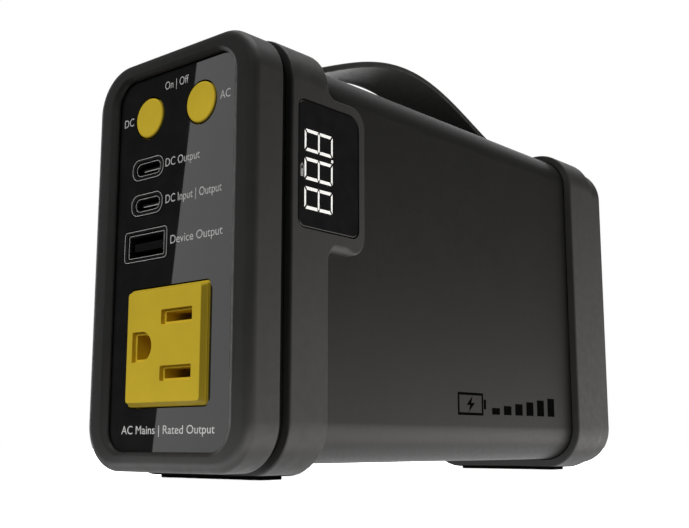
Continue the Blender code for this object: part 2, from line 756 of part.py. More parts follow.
def make_outlet(parts):
    base = OUTLET_FACE + 2 * OUTLET_DRAFT
    front = outlet_section(base, OUTLET_CORNER, (0.0, PANEL_FACE))
    taper(front, 0.0, OUTLET_FACE / base, OUTLET_FACE / base, OUTLET_X, OUTLET_Z)
    outlet = add_object("outlet_block", front, parts, yellow_plastic())
    body = outlet_section(base - 0.4 * MM, OUTLET_CORNER - 0.1 * MM,
                          (PANEL_FACE - 0.3 * MM, OUTLET_END))
    join(outlet, body, "body")
    flange = outlet_section(base + 4 * MM, 2 * MM, (PANEL_BACK + GAP, PANEL_BACK + 1.8 * MM))
    join(outlet, flange, "flange")
    for name, z in (("upper", OUTLET_Z + BLADE_SPACING / 2), ("lower", OUTLET_Z - BLADE_SPACING / 2)):
        cut(outlet, blade_section(BLADE_RECESS, 0.3 * MM, z, (-MM, RECESS_END)), name + "_recess")
        cut(outlet, blade_section(BLADE_SLOT, 0.2 * MM, z, (-MM, SLOT_END)), name + "_slot")
        cut(outlet, blade_section(BLADE_CHAMBER, 0.3 * MM, z, (SLOT_END - MM, OUTLET_END + MM)),
            name + "_chamber")
    cut(outlet, earth_shape(EARTH_RECESS, (-MM, RECESS_END)), "earth_recess")
    cut(outlet, earth_shape(EARTH_HOLE, (-MM, OUTLET_END + MM)), "earth_hole")
    return soften(outlet)


def add_contact_tail(contact, x, z, start):
    tail = rounded_section(3 * MM, 0.8 * MM, 0.1 * MM, (start, OUTLET_END + 4 * MM), x, z, 2)
    join(contact, tail, "tail")


def make_contacts(parts):
    start, end = SLOT_END, OUTLET_END - MM
    floor = end - 1.5 * MM
    for name, z in (("neutral_contact", OUTLET_Z + BLADE_SPACING / 2),
                    ("hot_contact", OUTLET_Z - BLADE_SPACING / 2)):
        solid = blade_section((8 * MM, 4.4 * MM), 0.3 * MM, z, (start, end))
        clip = add_object(name, solid, parts, brass())
        cut(clip, blade_section((9 * MM, 1.7 * MM), 0.3 * MM, z, (start - MM, floor)), "mouth")
        add_contact_tail(clip, BLADE_X, z, end - 0.5 * MM)
        soften(clip)
    outside = cylinder(2.5 * MM, (start, end), EARTH_X, OUTLET_Z)
    sleeve = add_object("earth_contact", outside, parts, brass())
    cut(sleeve, cylinder(2.05 * MM, (start - MM, floor), EARTH_X, OUTLET_Z), "bore")
    add_contact_tail(sleeve, EARTH_X, OUTLET_Z, end - 0.5 * MM)
    soften(sleeve)


# ---------------------------------------------------------------- handle

def strap_span():
    return FRONT_COLLAR[1] - 0.2 * MM, REAR_COLLAR[0] + 0.2 * MM


def strap_pockets():
    """Name and depth range of the pocket that takes each end of the strap."""
    run_in = 4.4 * MM
    return (("strap_front", FRONT_COLLAR[1] - STRAP_TUCK - GAP, FRONT_COLLAR[1] + run_in),
            ("strap_rear", REAR_COLLAR[0] - run_in, REAR_COLLAR[0] + STRAP_TUCK + GAP))


def strap_pocket(near, far, low, high):
    half = STRAP_WIDTH / 2 + GAP
    return block((-half, at(near), low), (half, at(far), high))


def strap_screws():
    return (("handle_screw_front", FRONT_COLLAR[1] - STRAP_TUCK / 2),
            ("handle_screw_rear", REAR_COLLAR[0] + STRAP_TUCK / 2))


def strap_height(depth):
    """Underside of the strap: level at the collars, arched between them."""
    near, far = strap_span()
    half = STRAP_APEX - near if depth < STRAP_APEX else far - STRAP_APEX
    along = min(abs(depth - STRAP_APEX) / half, 1.0)
    return STRAP_END_Z + STRAP_RISE * math.cos(math.pi / 2 * along) ** STRAP_SWEEP


def make_strap(parts):
    """A flat grid bent along the arch, thickened and rounded by its modifiers."""
    near, far = strap_span()
    steps = 22
    depths = [near - STRAP_TUCK + 0.2 * MM]
    depths += [near + (far - near) * i / steps for i in range(steps + 1)]
    depths += [far + STRAP_TUCK - 0.2 * MM]
    band = bmesh.new()
    bmesh.ops.create_grid(band, x_segments=1, y_segments=len(depths) - 1, size=0.5)
    for vert in band.verts:
        depth = depths[round((vert.co.y + 0.5) * (len(depths) - 1))]
        vert.co = (vert.co.x * STRAP_WIDTH, at(depth), strap_height(depth))
    strap = add_object("handle_strap", band, parts, strap_rubber())
    thicken = strap.modifiers.new("thickness", "SOLIDIFY")
    thicken.thickness = STRAP_THICKNESS
    thicken.offset = 1.0
    edges = strap.modifiers.new("edges", "BEVEL")
    edges.width = 0.35 * MM
    edges.segments = 2
    edges.angle_limit = math.radians(60)
    for name, depth in strap_screws():
        cut(strap, upright_cylinder(SCREW_HOLE, BODY_TOP - 2 * MM, BODY_TOP + 4 * MM, depth), name)
    return soften(strap)


def make_strap_screws(parts):
    inside = BODY_TOP - BODY_WALL - GAP
    for name, depth in strap_screws():
        shank = upright_cylinder(SCREW_HOLE - GAP, inside - 0.5 * MM, BODY_TOP + 1.8 * MM, depth)
        screw = add_object(name, shank, parts, black_steel())
        join(screw, upright_cylinder(2.8 * MM, inside - 1.6 * MM, inside, depth), "head")
        soften(screw)


# ---------------------------------------------------------------- battery and electronics

def cell_places():
    for row, row_name in enumerate(("bottom", "lower", "upper", "top")):
        z = CENTRE_Z + (row - 1.5) * CELL_PITCH
        for side, side_name in ((-0.5, "left"), (0.5, "right")):
            yield "cell_%s_%s" % (row_name, side_name), side * CELL_PITCH, z


def make_cells(parts):
    for name, x, z in cell_places():
        body = cylinder(CELL_RADIUS, (CELL_START, CELL_END), x, z, CELL_SEGMENTS)
        soften(add_object(name, body, parts, cell_wrap()))


def plate_section(width, height, corner, span):
    """A plate across the inside of the body tube."""
    return rounded_section(width, height, corner, span, segments=3)


def make_cell_holders(parts):
    for name, span in (("cell_holder_front", (CELL_START, CELL_START + HOLDER_DEPTH)),
                       ("cell_holder_rear", (CELL_END - HOLDER_DEPTH, CELL_END))):
        plate = plate_section(HOLDER_WIDTH, HOLDER_HEIGHT, 3 * MM, span)
        holder = add_object(name, plate, parts, holder_plastic())
        through = (span[0] - MM, span[1] + MM)
        for cell, x, z in cell_places():
            cut(holder, cylinder(CELL_RADIUS + GAP, through, x, z, CELL_SEGMENTS), cell)
    thickness = 0.4 * MM
    for name, start in (("bus_plate_front", CELL_START - GAP - thickness),
                        ("bus_plate_rear", CELL_END + GAP)):
        plate = plate_section(30 * MM, 70 * MM, 4 * MM, (start, start + thickness))
        add_object(name, plate, parts, nickel())


def make_electronics(parts):
    low = CENTRE_Z + HOLDER_HEIGHT / 2 + 0.8 * MM
    inset = 4 * MM
    board = block((-18 * MM, at(CELL_START + inset), low),
                  (18 * MM, at(CELL_END - inset), low + BOARD_THICKNESS))
    add_object("battery_board", board, parts, circuit_board())
    start = CELL_END + 2 * MM
    divider = plate_section(44 * MM, 87 * MM, 5 * MM, (start, start + MM))
    add_object("divider_sheet", divider, parts, insulation_sheet())
    board = block((INVERTER_X - BOARD_THICKNESS, at(INVERTER_SPAN[0]), 12 * MM),
                  (INVERTER_X, at(INVERTER_SPAN[1]), 89 * MM))
    add_object("inverter_board", board, parts, circuit_board())
    make_transformer(parts, INVERTER_X + GAP)
    make_heatsink(parts, INVERTER_X + GAP)
    make_capacitors(parts, INVERTER_X + GAP)


def make_transformer(parts, base_x):
    """A ferrite core with two windows, and a coil round its middle leg."""
    middle = at(sum(INVERTER_SPAN) / 2)
    height = 38 * MM
    low_x, high_x = base_x + 3 * MM, base_x + 23 * MM
    core = add_object("transformer_core", block((low_x, middle - 15 * MM, height - 13 * MM),
                                                (high_x, middle + 15 * MM, height + 13 * MM)),
                      parts, ferrite())
    for name, y in (("near", middle - 7.5 * MM), ("far", middle + 7.5 * MM)):
        cut(core, block((low_x - MM, y - 3.4 * MM, height - 8 * MM),
                        (high_x + MM, y + 3.4 * MM, height + 8 * MM)), name + "_window")
    overhang = 2.7 * MM
    coil = add_object("transformer_coil",
                      block((low_x - overhang, middle - 10.5 * MM, height - 7.6 * MM),
                            (high_x + overhang, middle + 10.5 * MM, height + 7.6 * MM)),
                      parts, copper_winding())
    cut(coil, block((low_x - GAP, middle - 4.4 * MM, height - 10 * MM),
                    (high_x + GAP, middle + 4.4 * MM, height + 10 * MM)), "leg_way")


def make_heatsink(parts, base_x):
    """A block with channels cut between its fins."""
    low, high = 56 * MM, 86 * MM
    near, far = at(INVERTER_SPAN[0] + 2 * MM), at(INVERTER_SPAN[0] + 16 * MM)
    sink = add_object("heatsink", block((base_x, near, low), (base_x + 30 * MM, far, high)),
                      parts, aluminium())
    channels = 5
    half = 1.9 * MM
    for index in range(channels):
        z = low + (high - low) * (index + 0.5) / channels
        cut(sink, block((base_x + 3 * MM, near + 3 * MM, z - half),
                        (base_x + 32 * MM, far + MM, z + half)), "channel_%d" % index)


def make_capacitors(parts, base_x):
    length = 28 * MM
    turn = Matrix.Rotation(math.radians(90), 4, "Y")
    for name, z in (("capacitor_lower", 62 * MM), ("capacitor_upper", 79 * MM)):
        centre = (base_x + length / 2, at(INVERTER_SPAN[1] - 9 * MM), z)
        can = turned_cylinder(8 * MM, length, centre, turn, 20)
        soften(add_object(name, can, parts, black_nylon()))


def build():
    for old in list(bpy.data.objects):
        bpy.data.objects.remove(old, do_unlink=True)
    parts = new_collection("power_station")
    new_collection("cutters")
    make_body_shell(parts)
    make_front_collar(parts)
    make_rear_collar(parts)
    make_front_bumper(parts)
    make_feet(parts)
    make_rear_cover(parts)
    make_cover_screws(parts)
    make_display(parts)
    make_front_panel(parts)
    make_ports(parts)
    make_buttons(parts)
    make_switches(parts)
    make_port_board(parts)
    make_outlet(parts)
    make_contacts(parts)
    make_strap(parts)
    make_strap_screws(parts)
    make_cells(parts)
    make_cell_holders(parts)
    make_electronics(parts)


build()
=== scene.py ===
"""Looks for the portable power station: fine shells, printed marks, materials, light and camera.

Units are metres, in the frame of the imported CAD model: +Z up, the front panel faces -Y and the
display is on the +X side. Depths are measured from the front rim backwards.
"""
import json
import math

import bmesh
import bpy
from mathutils import Matrix, Vector

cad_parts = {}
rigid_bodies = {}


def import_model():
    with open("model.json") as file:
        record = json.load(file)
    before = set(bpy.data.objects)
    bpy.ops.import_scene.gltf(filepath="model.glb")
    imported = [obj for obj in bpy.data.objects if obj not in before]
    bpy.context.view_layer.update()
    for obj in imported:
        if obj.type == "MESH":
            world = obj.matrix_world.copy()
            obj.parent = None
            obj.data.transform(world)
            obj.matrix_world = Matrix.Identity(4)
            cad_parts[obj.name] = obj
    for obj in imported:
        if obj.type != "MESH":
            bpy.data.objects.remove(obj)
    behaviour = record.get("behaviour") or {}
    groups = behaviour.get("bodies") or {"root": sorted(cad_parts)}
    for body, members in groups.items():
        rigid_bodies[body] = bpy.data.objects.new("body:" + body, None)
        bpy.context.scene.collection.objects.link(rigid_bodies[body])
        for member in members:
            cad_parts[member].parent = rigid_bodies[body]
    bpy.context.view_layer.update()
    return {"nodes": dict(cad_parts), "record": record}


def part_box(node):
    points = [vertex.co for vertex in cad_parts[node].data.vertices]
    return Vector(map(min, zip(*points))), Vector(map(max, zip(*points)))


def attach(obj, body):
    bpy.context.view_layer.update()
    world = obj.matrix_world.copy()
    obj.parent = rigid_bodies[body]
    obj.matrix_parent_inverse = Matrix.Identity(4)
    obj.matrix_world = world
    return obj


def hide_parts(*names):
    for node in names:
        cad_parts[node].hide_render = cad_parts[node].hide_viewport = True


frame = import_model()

MM = 0.001
BODY = "station"

# Places taken from the CAD model
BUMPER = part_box("front_bumper")
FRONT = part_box("front_collar")
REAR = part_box("rear_collar")
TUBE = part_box("body_shell")
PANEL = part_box("front_panel")
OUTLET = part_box("outlet_block")
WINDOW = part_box("display_window")
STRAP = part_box("handle_strap")
INK = 0.03 * MM                     # thickness of the marks on the display side
GLASS = WINDOW[1].x - 0.04 * MM     # the face of the window, set back so that its marks fit
FRONT_FACE = BUMPER[0].y            # the front rim's plane
PANEL_FACE = PANEL[0].y
CENTRE_Z = (BUMPER[0].z + BUMPER[1].z) / 2
SIDE = FRONT[1].x
GAP = 0.3 * MM

# Radii and small sizes that the boxes do not give
BUMPER_CORNER = 11 * MM
COLLAR_CORNER = 12 * MM
TUBE_CORNER = 9.4 * MM
TUBE_WALL = 2.2 * MM
RIM_ROUND = (2.4 * MM, 2.0 * MM)                # across the face and along the depth
REAR_RIM_ROUND = (1.4 * MM, 1.4 * MM)
EDGE_ROUND = 0.45 * MM
OPENING = (41.4 * MM, 89.2 * MM, 5.5 * MM)      # width, height and corner of a rim's opening
MOUTH = (42.0 * MM, 89.6 * MM, 5.9 * MM)        # the same of the slope round it, at its inner end
LIP = (45.2 * MM, 91.2 * MM, 7.4 * MM)          # and at its outer end
OPENING_DEPTH = 1.0 * MM
LIP_DEPTH = 0.65 * MM
STRAP_THICKNESS = 1.6 * MM
STRAP_POCKET = 0.25 * MM                        # how deep the strap's ends lie in the tube
STRAP_END_TOP = TUBE[1].z - STRAP_POCKET + STRAP_THICKNESS + GAP
SCREW_HOLE = 1.8 * MM
COVER_HOLE = 1.4 * MM
COLLAR_WALL = 2.1 * MM                          # more than a collar's thickness over the tube
CORNER_STEPS = 16


def at(depth):
    """Y coordinate of a depth behind the front rim."""
    return FRONT_FACE + depth


# ---------------------------------------- node helpers

class Shader:
    """A material under construction: a Principled BSDF and helpers that feed its sockets."""

    def __init__(self, name, colour, roughness, metallic=0.0):
        self.material = bpy.data.materials.new(name)
        self.material.use_nodes = True
        self.tree = self.material.node_tree
        self.bsdf = self.tree.nodes["Principled BSDF"]
        self.coords = self.tree.nodes.new("ShaderNodeTexCoord")
        self.set("Base Color", (*colour, 1.0))
        self.set("Roughness", roughness)
        self.set("Metallic", metallic)
        self.colour = colour
        self.material.diffuse_color = (*colour, 1.0)

    def set(self, socket, value):
        self.bsdf.inputs[socket].default_value = value

    def link(self, source, target):
        self.tree.links.new(source, target)

    def stretched(self, stretch):
        """Object coordinates, scaled differently along each axis."""
        mapping = self.tree.nodes.new("ShaderNodeMapping")
        mapping.inputs["Scale"].default_value = stretch
        self.link(self.coords.outputs["Object"], mapping.inputs["Vector"])
        return mapping.outputs["Vector"]

    def noise(self, size, detail=3.0, stretch=(1, 1, 1)):
        """Noise whose features are about the given size."""
        made = self.tree.nodes.new("ShaderNodeTexNoise")
        made.inputs["Scale"].default_value = 1 / size
        made.inputs["Detail"].default_value = detail
        self.link(self.stretched(stretch), made.inputs["Vector"])
        return made.outputs["Fac"]

    def cells(self, size):
        made = self.tree.nodes.new("ShaderNodeTexVoronoi")
        made.inputs["Scale"].default_value = 1 / size
        self.link(self.coords.outputs["Object"], made.inputs["Vector"])
        return made.outputs["Distance"]

    def ramp(self, source, low, high, start=0.3, end=0.7):
        """A value that runs from low to high as the source runs from start to end."""
        made = self.tree.nodes.new("ShaderNodeMapRange")
        made.inputs["From Min"].default_value = start
        made.inputs["From Max"].default_value = end
        made.inputs["To Min"].default_value = low
        made.inputs["To Max"].default_value = high
        self.link(source, made.inputs["Value"])
        return made.outputs["Result"]

    def mottle(self, size, amount):
        """Colour variation round the base colour."""
        mix = self.tree.nodes.new("ShaderNodeMix")
        mix.data_type = "RGBA"
        for socket, scale in (("A", 1 - amount), ("B", 1 + amount)):
            mix.inputs[socket].default_value = (*(c * scale for c in self.colour), 1.0)
        self.link(self.ramp(self.noise(size), 0.0, 1.0), mix.inputs["Factor"])
        self.link(mix.outputs["Result"], self.bsdf.inputs["Base Color"])

    def roughness(self, size, low, high, stretch=(1, 1, 1)):
        source = self.noise(size, 4.0, stretch)
        self.link(self.ramp(source, low, high), self.bsdf.inputs["Roughness"])

    def bump(self, *layers):
        """Bump from (height source, depth) layers, each on top of the one before."""
        normal = None
        for height, depth in layers:
            made = self.tree.nodes.new("ShaderNodeBump")
            made.inputs["Distance"].default_value = depth
            self.link(height, made.inputs["Height"])
            if normal is not None:
                self.link(normal, made.inputs["Normal"])
            normal = made.outputs["Normal"]
        self.link(normal, self.bsdf.inputs["Normal"])


# ---------------------------------------- materials

def moulded(name, colour, roughness, grain, depth, variation=0.08):
    """Injection-moulded plastic with a fine spark-eroded grain and slight flow marks."""
    made = Shader(name, colour, roughness)
    made.mottle(9 * MM, variation)
    made.roughness(2.2 * MM, roughness - 0.05, roughness + 0.06)
    made.bump((made.noise(26 * MM, 2.0), depth * 2), (made.noise(grain, 2.0), depth))
    return made


def case_plastic():
    made = moulded("case_plastic_look", (0.019, 0.0186, 0.018), 0.5, 0.22 * MM, 0.012 * MM)
    made.set("Specular IOR Level", 0.55)
    return made.material


def body_coating():
    """Satin coating: finer than the moulded parts, with a very slight unevenness along the tube."""
    made = Shader("body_coating_look", (0.010, 0.0097, 0.0093), 0.44)
    made.mottle(14 * MM, 0.1)
    made.roughness(1.1 * MM, 0.41, 0.48)
    along = made.noise(3 * MM, 2.0, (1, 0.06, 1))
    made.bump((along, 0.004 * MM), (made.noise(0.12 * MM, 2.0), 0.005 * MM))
    return made.material


def gloss_black():
    """High-gloss panel with a faint orange peel and a slightly uneven gloss."""
    made = Shader("gloss_black_look", (0.008, 0.008, 0.0083), 0.01)
    made.mottle(6 * MM, 0.2)
    made.roughness(5 * MM, 0.006, 0.02)
    made.bump((made.noise(9 * MM, 1.0), 0.0003 * MM))
    return made.material


def window_glass():
    made = Shader("window_glass_look", (0.011, 0.011, 0.0115), 0.06)
    made.mottle(4 * MM, 0.2)
    made.roughness(3 * MM, 0.05, 0.1)
    made.bump((made.noise(5 * MM, 1.0), 0.001 * MM))
    return made.material


def yellow_plastic():
    made = moulded("yellow_plastic_look", (0.80, 0.575, 0.042), 0.45, 0.3 * MM, 0.006 * MM, 0.04)
    return made.material


def black_nylon():
    return moulded("black_nylon_look", (0.012, 0.012, 0.012), 0.4, 0.15 * MM, 0.006 * MM).material


def port_tongue():
    return moulded("port_tongue_look", (0.007, 0.007, 0.007), 0.4, 0.1 * MM, 0.003 * MM, 0.1).material


def holder_plastic():
    return moulded("holder_plastic_look", (0.04, 0.04, 0.042), 0.55, 0.3 * MM, 0.01 * MM).material


def rubber(name="rubber_look", colour=(0.014, 0.014, 0.014), roughness=0.72):
    made = Shader(name, colour, roughness)
    made.mottle(3 * MM, 0.18)
    made.roughness(0.9 * MM, roughness - 0.08, roughness + 0.1)
    made.bump((made.cells(0.5 * MM), 0.01 * MM), (made.noise(0.12 * MM), 0.006 * MM))
    made.set("Sheen Weight", 0.08)
    made.set("Sheen Roughness", 0.5)
    return made.material


def strap_rubber():
    return rubber("strap_rubber_look", (0.027, 0.0265, 0.026), 0.55)


def metal(name, colour, roughness, stretch=(1, 1, 1), scratch=0.2 * MM):
    """Bare or plated metal with fine drawing marks along one direction."""
    made = Shader(name, colour, roughness, 1.0)
    made.mottle(2 * MM, 0.08)
    made.roughness(0.6 * MM, roughness * 0.7, roughness * 1.35, stretch)
    made.bump((made.noise(scratch, 3.0, stretch), 0.002 * MM))
    return made.material


def bright_steel():
    return metal("bright_steel_look", (0.45, 0.45, 0.455), 0.28, (1, 0.1, 1))


def black_steel():
    return metal("black_steel_look", (0.06, 0.06, 0.065), 0.34)


def brass():
    return metal("brass_look", (0.7, 0.48, 0.19), 0.28, (1, 0.1, 1))


def nickel():
    return metal("nickel_look", (0.6, 0.57, 0.52), 0.3, (1, 1, 0.1))


def copper_winding():
    """Enamelled wire: fine turns side by side round the coil."""
    made = Shader("copper_winding_look", (0.62, 0.26, 0.09), 0.3, 1.0)
    wave = made.tree.nodes.new("ShaderNodeTexWave")
    wave.bands_direction = "X"
    wave.inputs["Scale"].default_value = 1 / (6 * MM)
    made.link(made.coords.outputs["Object"], wave.inputs["Vector"])
    made.mottle(3 * MM, 0.15)
    made.roughness(1 * MM, 0.25, 0.4)
    made.bump((wave.outputs["Fac"], 0.15 * MM))
    return made.material


def aluminium():
    return metal("aluminium_look", (0.68, 0.68, 0.7), 0.38, (1, 1, 0.08), 0.3 * MM)


def ferrite():
    return moulded("ferrite_look", (0.035, 0.035, 0.037), 0.6, 0.25 * MM, 0.02 * MM).material


def circuit_board():
    """Solder mask over a faint pattern of tracks."""
    made = Shader("circuit_board_look", (0.012, 0.085, 0.035), 0.35)
    tracks = made.tree.nodes.new("ShaderNodeTexBrick")
    tracks.inputs["Scale"].default_value = 1 / (8 * MM)
    tracks.inputs["Mortar Size"].default_value = 0.05
    tracks.inputs["Color1"].default_value = (0.010, 0.075, 0.03, 1)
    tracks.inputs["Color2"].default_value = (0.013, 0.09, 0.036, 1)
    tracks.inputs["Mortar"].default_value = (0.03, 0.16, 0.07, 1)
    turn = made.tree.nodes.new("ShaderNodeMapping")
    turn.inputs["Rotation"].default_value = (math.radians(90), 0, math.radians(30))
    made.link(made.coords.outputs["Object"], turn.inputs["Vector"])
    made.link(turn.outputs["Vector"], tracks.inputs["Vector"])
    made.link(tracks.outputs["Color"], made.bsdf.inputs["Base Color"])
    made.roughness(2 * MM, 0.3, 0.42)
    made.bump((tracks.outputs["Fac"], 0.02 * MM))
    return made.material


def cell_wrap():
    made = moulded("cell_wrap_look", (0.02, 0.17, 0.36), 0.32, 0.4 * MM, 0.004 * MM, 0.06)
    return made.material


def insulation_sheet():
    made = Shader("insulation_sheet_look", (0.33, 0.3, 0.24), 0.7)
    made.mottle(0.6 * MM, 0.12)
    made.roughness(0.8 * MM, 0.62, 0.78)
    made.bump((made.noise(0.3 * MM, 5.0, (1, 1, 0.3)), 0.02 * MM))
    return made.material


def print_and_highlight_grey():
    """Pale printed ink, slightly uneven. The same grey also paints the highlight ring round each
    port's bezel.
    """
    made = Shader("print_and_highlight_grey_look", (0.52, 0.52, 0.51), 0.5)
    made.mottle(0.4 * MM, 0.18)
    made.roughness(0.3 * MM, 0.42, 0.6)
    return made.material


def port_edge():
    """Dull plated edge of a port's shell."""
    made = Shader("port_edge_look", (0.5, 0.5, 0.49), 0.5)
    made.mottle(0.5 * MM, 0.25)
    made.roughness(0.3 * MM, 0.4, 0.6)
    return made.material


def printed_black():
    made = Shader("printed_black_look", (0.003, 0.003, 0.003), 0.6)
    made.set("Specular IOR Level", 0.0)
    made.mottle(0.5 * MM, 0.2)
    made.roughness(0.4 * MM, 0.55, 0.68)
    return made.material


def lit_segment():
    """White light of the display, a little uneven along each bar."""
    made = Shader("lit_segment_look", (0.8, 0.8, 0.78), 0.4)
    made.set("Emission Color", (1.0, 0.995, 0.96, 1.0))
    made.set("Emission Strength", 0.42)
    made.mottle(0.7 * MM, 0.12)
    made.roughness(0.5 * MM, 0.3, 0.5)
    return made.material


LOOKS = {make.__name__: make() for make in (
    case_plastic, body_coating, gloss_black, window_glass, yellow_plastic, black_nylon, port_tongue,
    holder_plastic, rubber, strap_rubber, bright_steel, black_steel, brass, nickel, copper_winding,
    aluminium, ferrite, circuit_board, cell_wrap, insulation_sheet, print_and_highlight_grey, port_edge,
    printed_black, lit_segment)}
NODE_SLOTS = {entry["node"]: entry["material_slot"] for entry in frame["record"]["subparts"]}


# ---------------------------------------- mesh helpers

def new_object(name, bm):
    """Put a bmesh into the scene as an object, and free it."""
    mesh = bpy.data.meshes.new(name)
    bm.to_mesh(mesh)
    bm.free()
    made = bpy.data.objects.new(name, mesh)
    bpy.context.scene.collection.objects.link(made)
    return made


def even_shading(piece):
    """Keep flat faces flat next to their roundings."""
    weights = piece.modifiers.new("even_shading", "WEIGHTED_NORMAL")
    weights.keep_sharp = True
    weights.weight = 100


def place(name, bm, look, replaced=(), body=BODY, angle=32):
    """Make a finished piece from a bmesh: material, shading, and the CAD body that it rides on."""
    bmesh.ops.remove_doubles(bm, verts=bm.verts, dist=0.0004 * MM)
    bmesh.ops.recalc_face_normals(bm, faces=bm.faces)
    piece = new_object(name, bm)
    piece.data.materials.append(LOOKS[look])
    piece.data.shade_smooth()
    piece.data.set_sharp_from_angle(angle=math.radians(angle))
    even_shading(piece)
    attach(piece, body)
    if replaced:
        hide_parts(*replaced)


def size_of(box):
    return box[1] - box[0]


def centre_of(box):
    return [(low + high) / 2 for low, high in zip(*box)]


def block(low, high):
    bm = bmesh.new()
    bmesh.ops.create_cube(bm, size=1.0)
    low, high = Vector(low), Vector(high)
    bmesh.ops.scale(bm, vec=high - low, verts=bm.verts)
    bmesh.ops.translate(bm, vec=(low + high) / 2, verts=bm.verts)
    return bm


def round_edges(bm, chosen, radius, segments):
    edges = [edge for edge in bm.edges if chosen(edge)]
    bmesh.ops.bevel(bm, geom=edges, offset=radius, segments=segments, profile=0.5,
                    affect="EDGES", clamp_overlap=True)


def runs_along(axis):
    """Whether an edge is parallel to an axis."""
    others = [i for i in range(3) if i != axis]
    return lambda edge: all(abs(edge.verts[0].co[i] - edge.verts[1].co[i]) < 1e-7 for i in others)


def lies_at(axis, value):
    """Whether an edge lies in the plane where a coordinate has a value."""
    return lambda edge: all(abs(v.co[axis] - value) < 1e-6 for v in edge.verts)


def rounded_box(low, high, axis, corner, segments=8):
    """A box with its edges along one axis rounded."""
    bm = block(low, high)
    round_edges(bm, runs_along(axis), corner, segments)
    return bm


def solid(bm):
    """A helper object for a Boolean."""
    bmesh.ops.recalc_face_normals(bm, faces=bm.faces)
    return new_object("helper", bm)


def evaluated(made):
    """The shape of an object after its modifiers, as a bmesh."""
    graph = bpy.context.evaluated_depsgraph_get()
    mesh = bpy.data.meshes.new_from_object(made.evaluated_get(graph))
    bm = bmesh.new()
    bm.from_mesh(mesh)
    return bm


CUT = "DIFFERENCE"
ADD = "UNION"


def carve(bm, *steps):
    """Apply (operation, helper bmesh) steps to a solid and return the result as a bmesh."""
    base = solid(bm)
    helpers = []
    for operation, helper_bm in steps:
        helper = solid(helper_bm)
        change = base.modifiers.new("step", "BOOLEAN")
        change.operation = operation
        change.solver = "EXACT"
        change.object = helper
        helpers.append(helper)
    result = evaluated(base)
    for used in [base, *helpers]:
        bpy.data.objects.remove(used)
    return result


def loop(width, height, corner, y, centre_z=CENTRE_Z):
    """Points round a rounded rectangle in an XZ plane."""
    points = []
    for quarter, (side_x, side_z) in enumerate(((1, 1), (-1, 1), (-1, -1), (1, -1))):
        x = side_x * (width / 2 - corner)
        z = centre_z + side_z * (height / 2 - corner)
        for step in range(CORNER_STEPS + 1):
            angle = math.radians(90 * (quarter + step / CORNER_STEPS))
            points.append(Vector((x + corner * math.cos(angle), y, z + corner * math.sin(angle))))
    return points


def loft(loops, closed):
    """Faces between successive loops; the last joins the first if closed, else both are capped."""
    bm = bmesh.new()
    rings = [[bm.verts.new(point) for point in points] for points in loops]
    pairs = list(zip(rings, rings[1:]))
    if closed:
        pairs.append((rings[-1], rings[0]))
    for near, far in pairs:
        for i, start in enumerate(near):
            j = (i + 1) % len(near)
            bm.faces.new((start, near[j], far[j], far[i]))
    if not closed:
        bm.faces.new(rings[0])
        bm.faces.new(rings[-1])
    bmesh.ops.recalc_face_normals(bm, faces=bm.faces)
    return bm


def outer_round(width, height, corner, y, radius, inward, steps=6, centre_z=CENTRE_Z):
    """Loops of a rounded outer edge at the plane y; inward is +1 if the piece lies behind it."""
    across, along = radius if isinstance(radius, tuple) else (radius, radius)
    loops = []
    for step in range(steps + 1):
        angle = math.radians(90 * step / steps)
        inset = across * (1 - math.sin(angle))
        depth = along * (1 - math.cos(angle))
        loops.append(loop(width - 2 * inset, height - 2 * inset, corner - inset,
                          y + inward * depth, centre_z))
    return loops


def arc(centre, radius, start, end, steps=10):
    points = []
    for step in range(steps + 1):
        angle = math.radians(start + (end - start) * step / steps)
        points.append((centre[0] + radius * math.cos(angle), centre[1] + radius * math.sin(angle)))
    return points


def prism(points, move):
    """A flat outline in space, drawn along a vector."""
    bm = bmesh.new()
    face = bm.faces.new([bm.verts.new(point) for point in points])
    grown = bmesh.ops.extrude_face_region(bm, geom=[face])
    moved = [part for part in grown["geom"] if isinstance(part, bmesh.types.BMVert)]
    bmesh.ops.translate(bm, vec=move, verts=moved)
    bmesh.ops.recalc_face_normals(bm, faces=bm.faces)
    return bm


def side_prism(outline, low_x, high_x):
    """An outline in Y and Z, drawn along X."""
    return prism([(low_x, y, z) for y, z in outline], (high_x - low_x, 0, 0))


# ---------------------------------------- case

# Width, height and corner of the hole that slides over the tube
BORE = (size_of(TUBE).x + 2 * GAP, size_of(TUBE).z + 2 * GAP, TUBE_CORNER + GAP)


def lip_loops(y, inward):
    """Loops from the opening in a rim out over its sloping lip, ending at the plane y."""
    loops = [loop(*OPENING, y + inward * OPENING_DEPTH), loop(*MOUTH, y + inward * LIP_DEPTH)]
    steps = 7
    for step in range(1, steps + 1):
        share = step / steps
        size = [start + (end - start) * share for start, end in zip(MOUTH, LIP)]
        loops.append(loop(*size, y + inward * LIP_DEPTH * (1 - share) ** 1.3))
    return loops


def make_bumper():
    """The rim round the front panel."""
    outer = (size_of(BUMPER).x, size_of(BUMPER).z, BUMPER_CORNER)
    back, bore_end, ledge = BUMPER[1].y, at(5 * MM), at(1.4 * MM)
    seat = tuple(value + extra for value, extra in zip(OPENING, (4.4 * MM, 4.4 * MM, 1.9 * MM)))
    loops = outer_round(*outer, FRONT_FACE, RIM_ROUND, 1, 14)
    loops += outer_round(*outer, back, EDGE_ROUND, -1, 4)[::-1]
    loops += [loop(*BORE, back), loop(*BORE, bore_end)]
    loops += [loop(*seat, bore_end), loop(*seat, ledge), loop(*OPENING, ledge)]
    loops += lip_loops(FRONT_FACE, 1)
    place("bumper_shell", loft(loops, True), "case_plastic", ["front_bumper"])


TAB_Z = (51.1 * MM, 87.4 * MM)
COLLAR_BACK = at(24 * MM)
TAB_CORNER = 5.0 * MM
TAB_FILLET = 3.0 * MM
UNDERSIDE_ROUND = 1.9 * MM


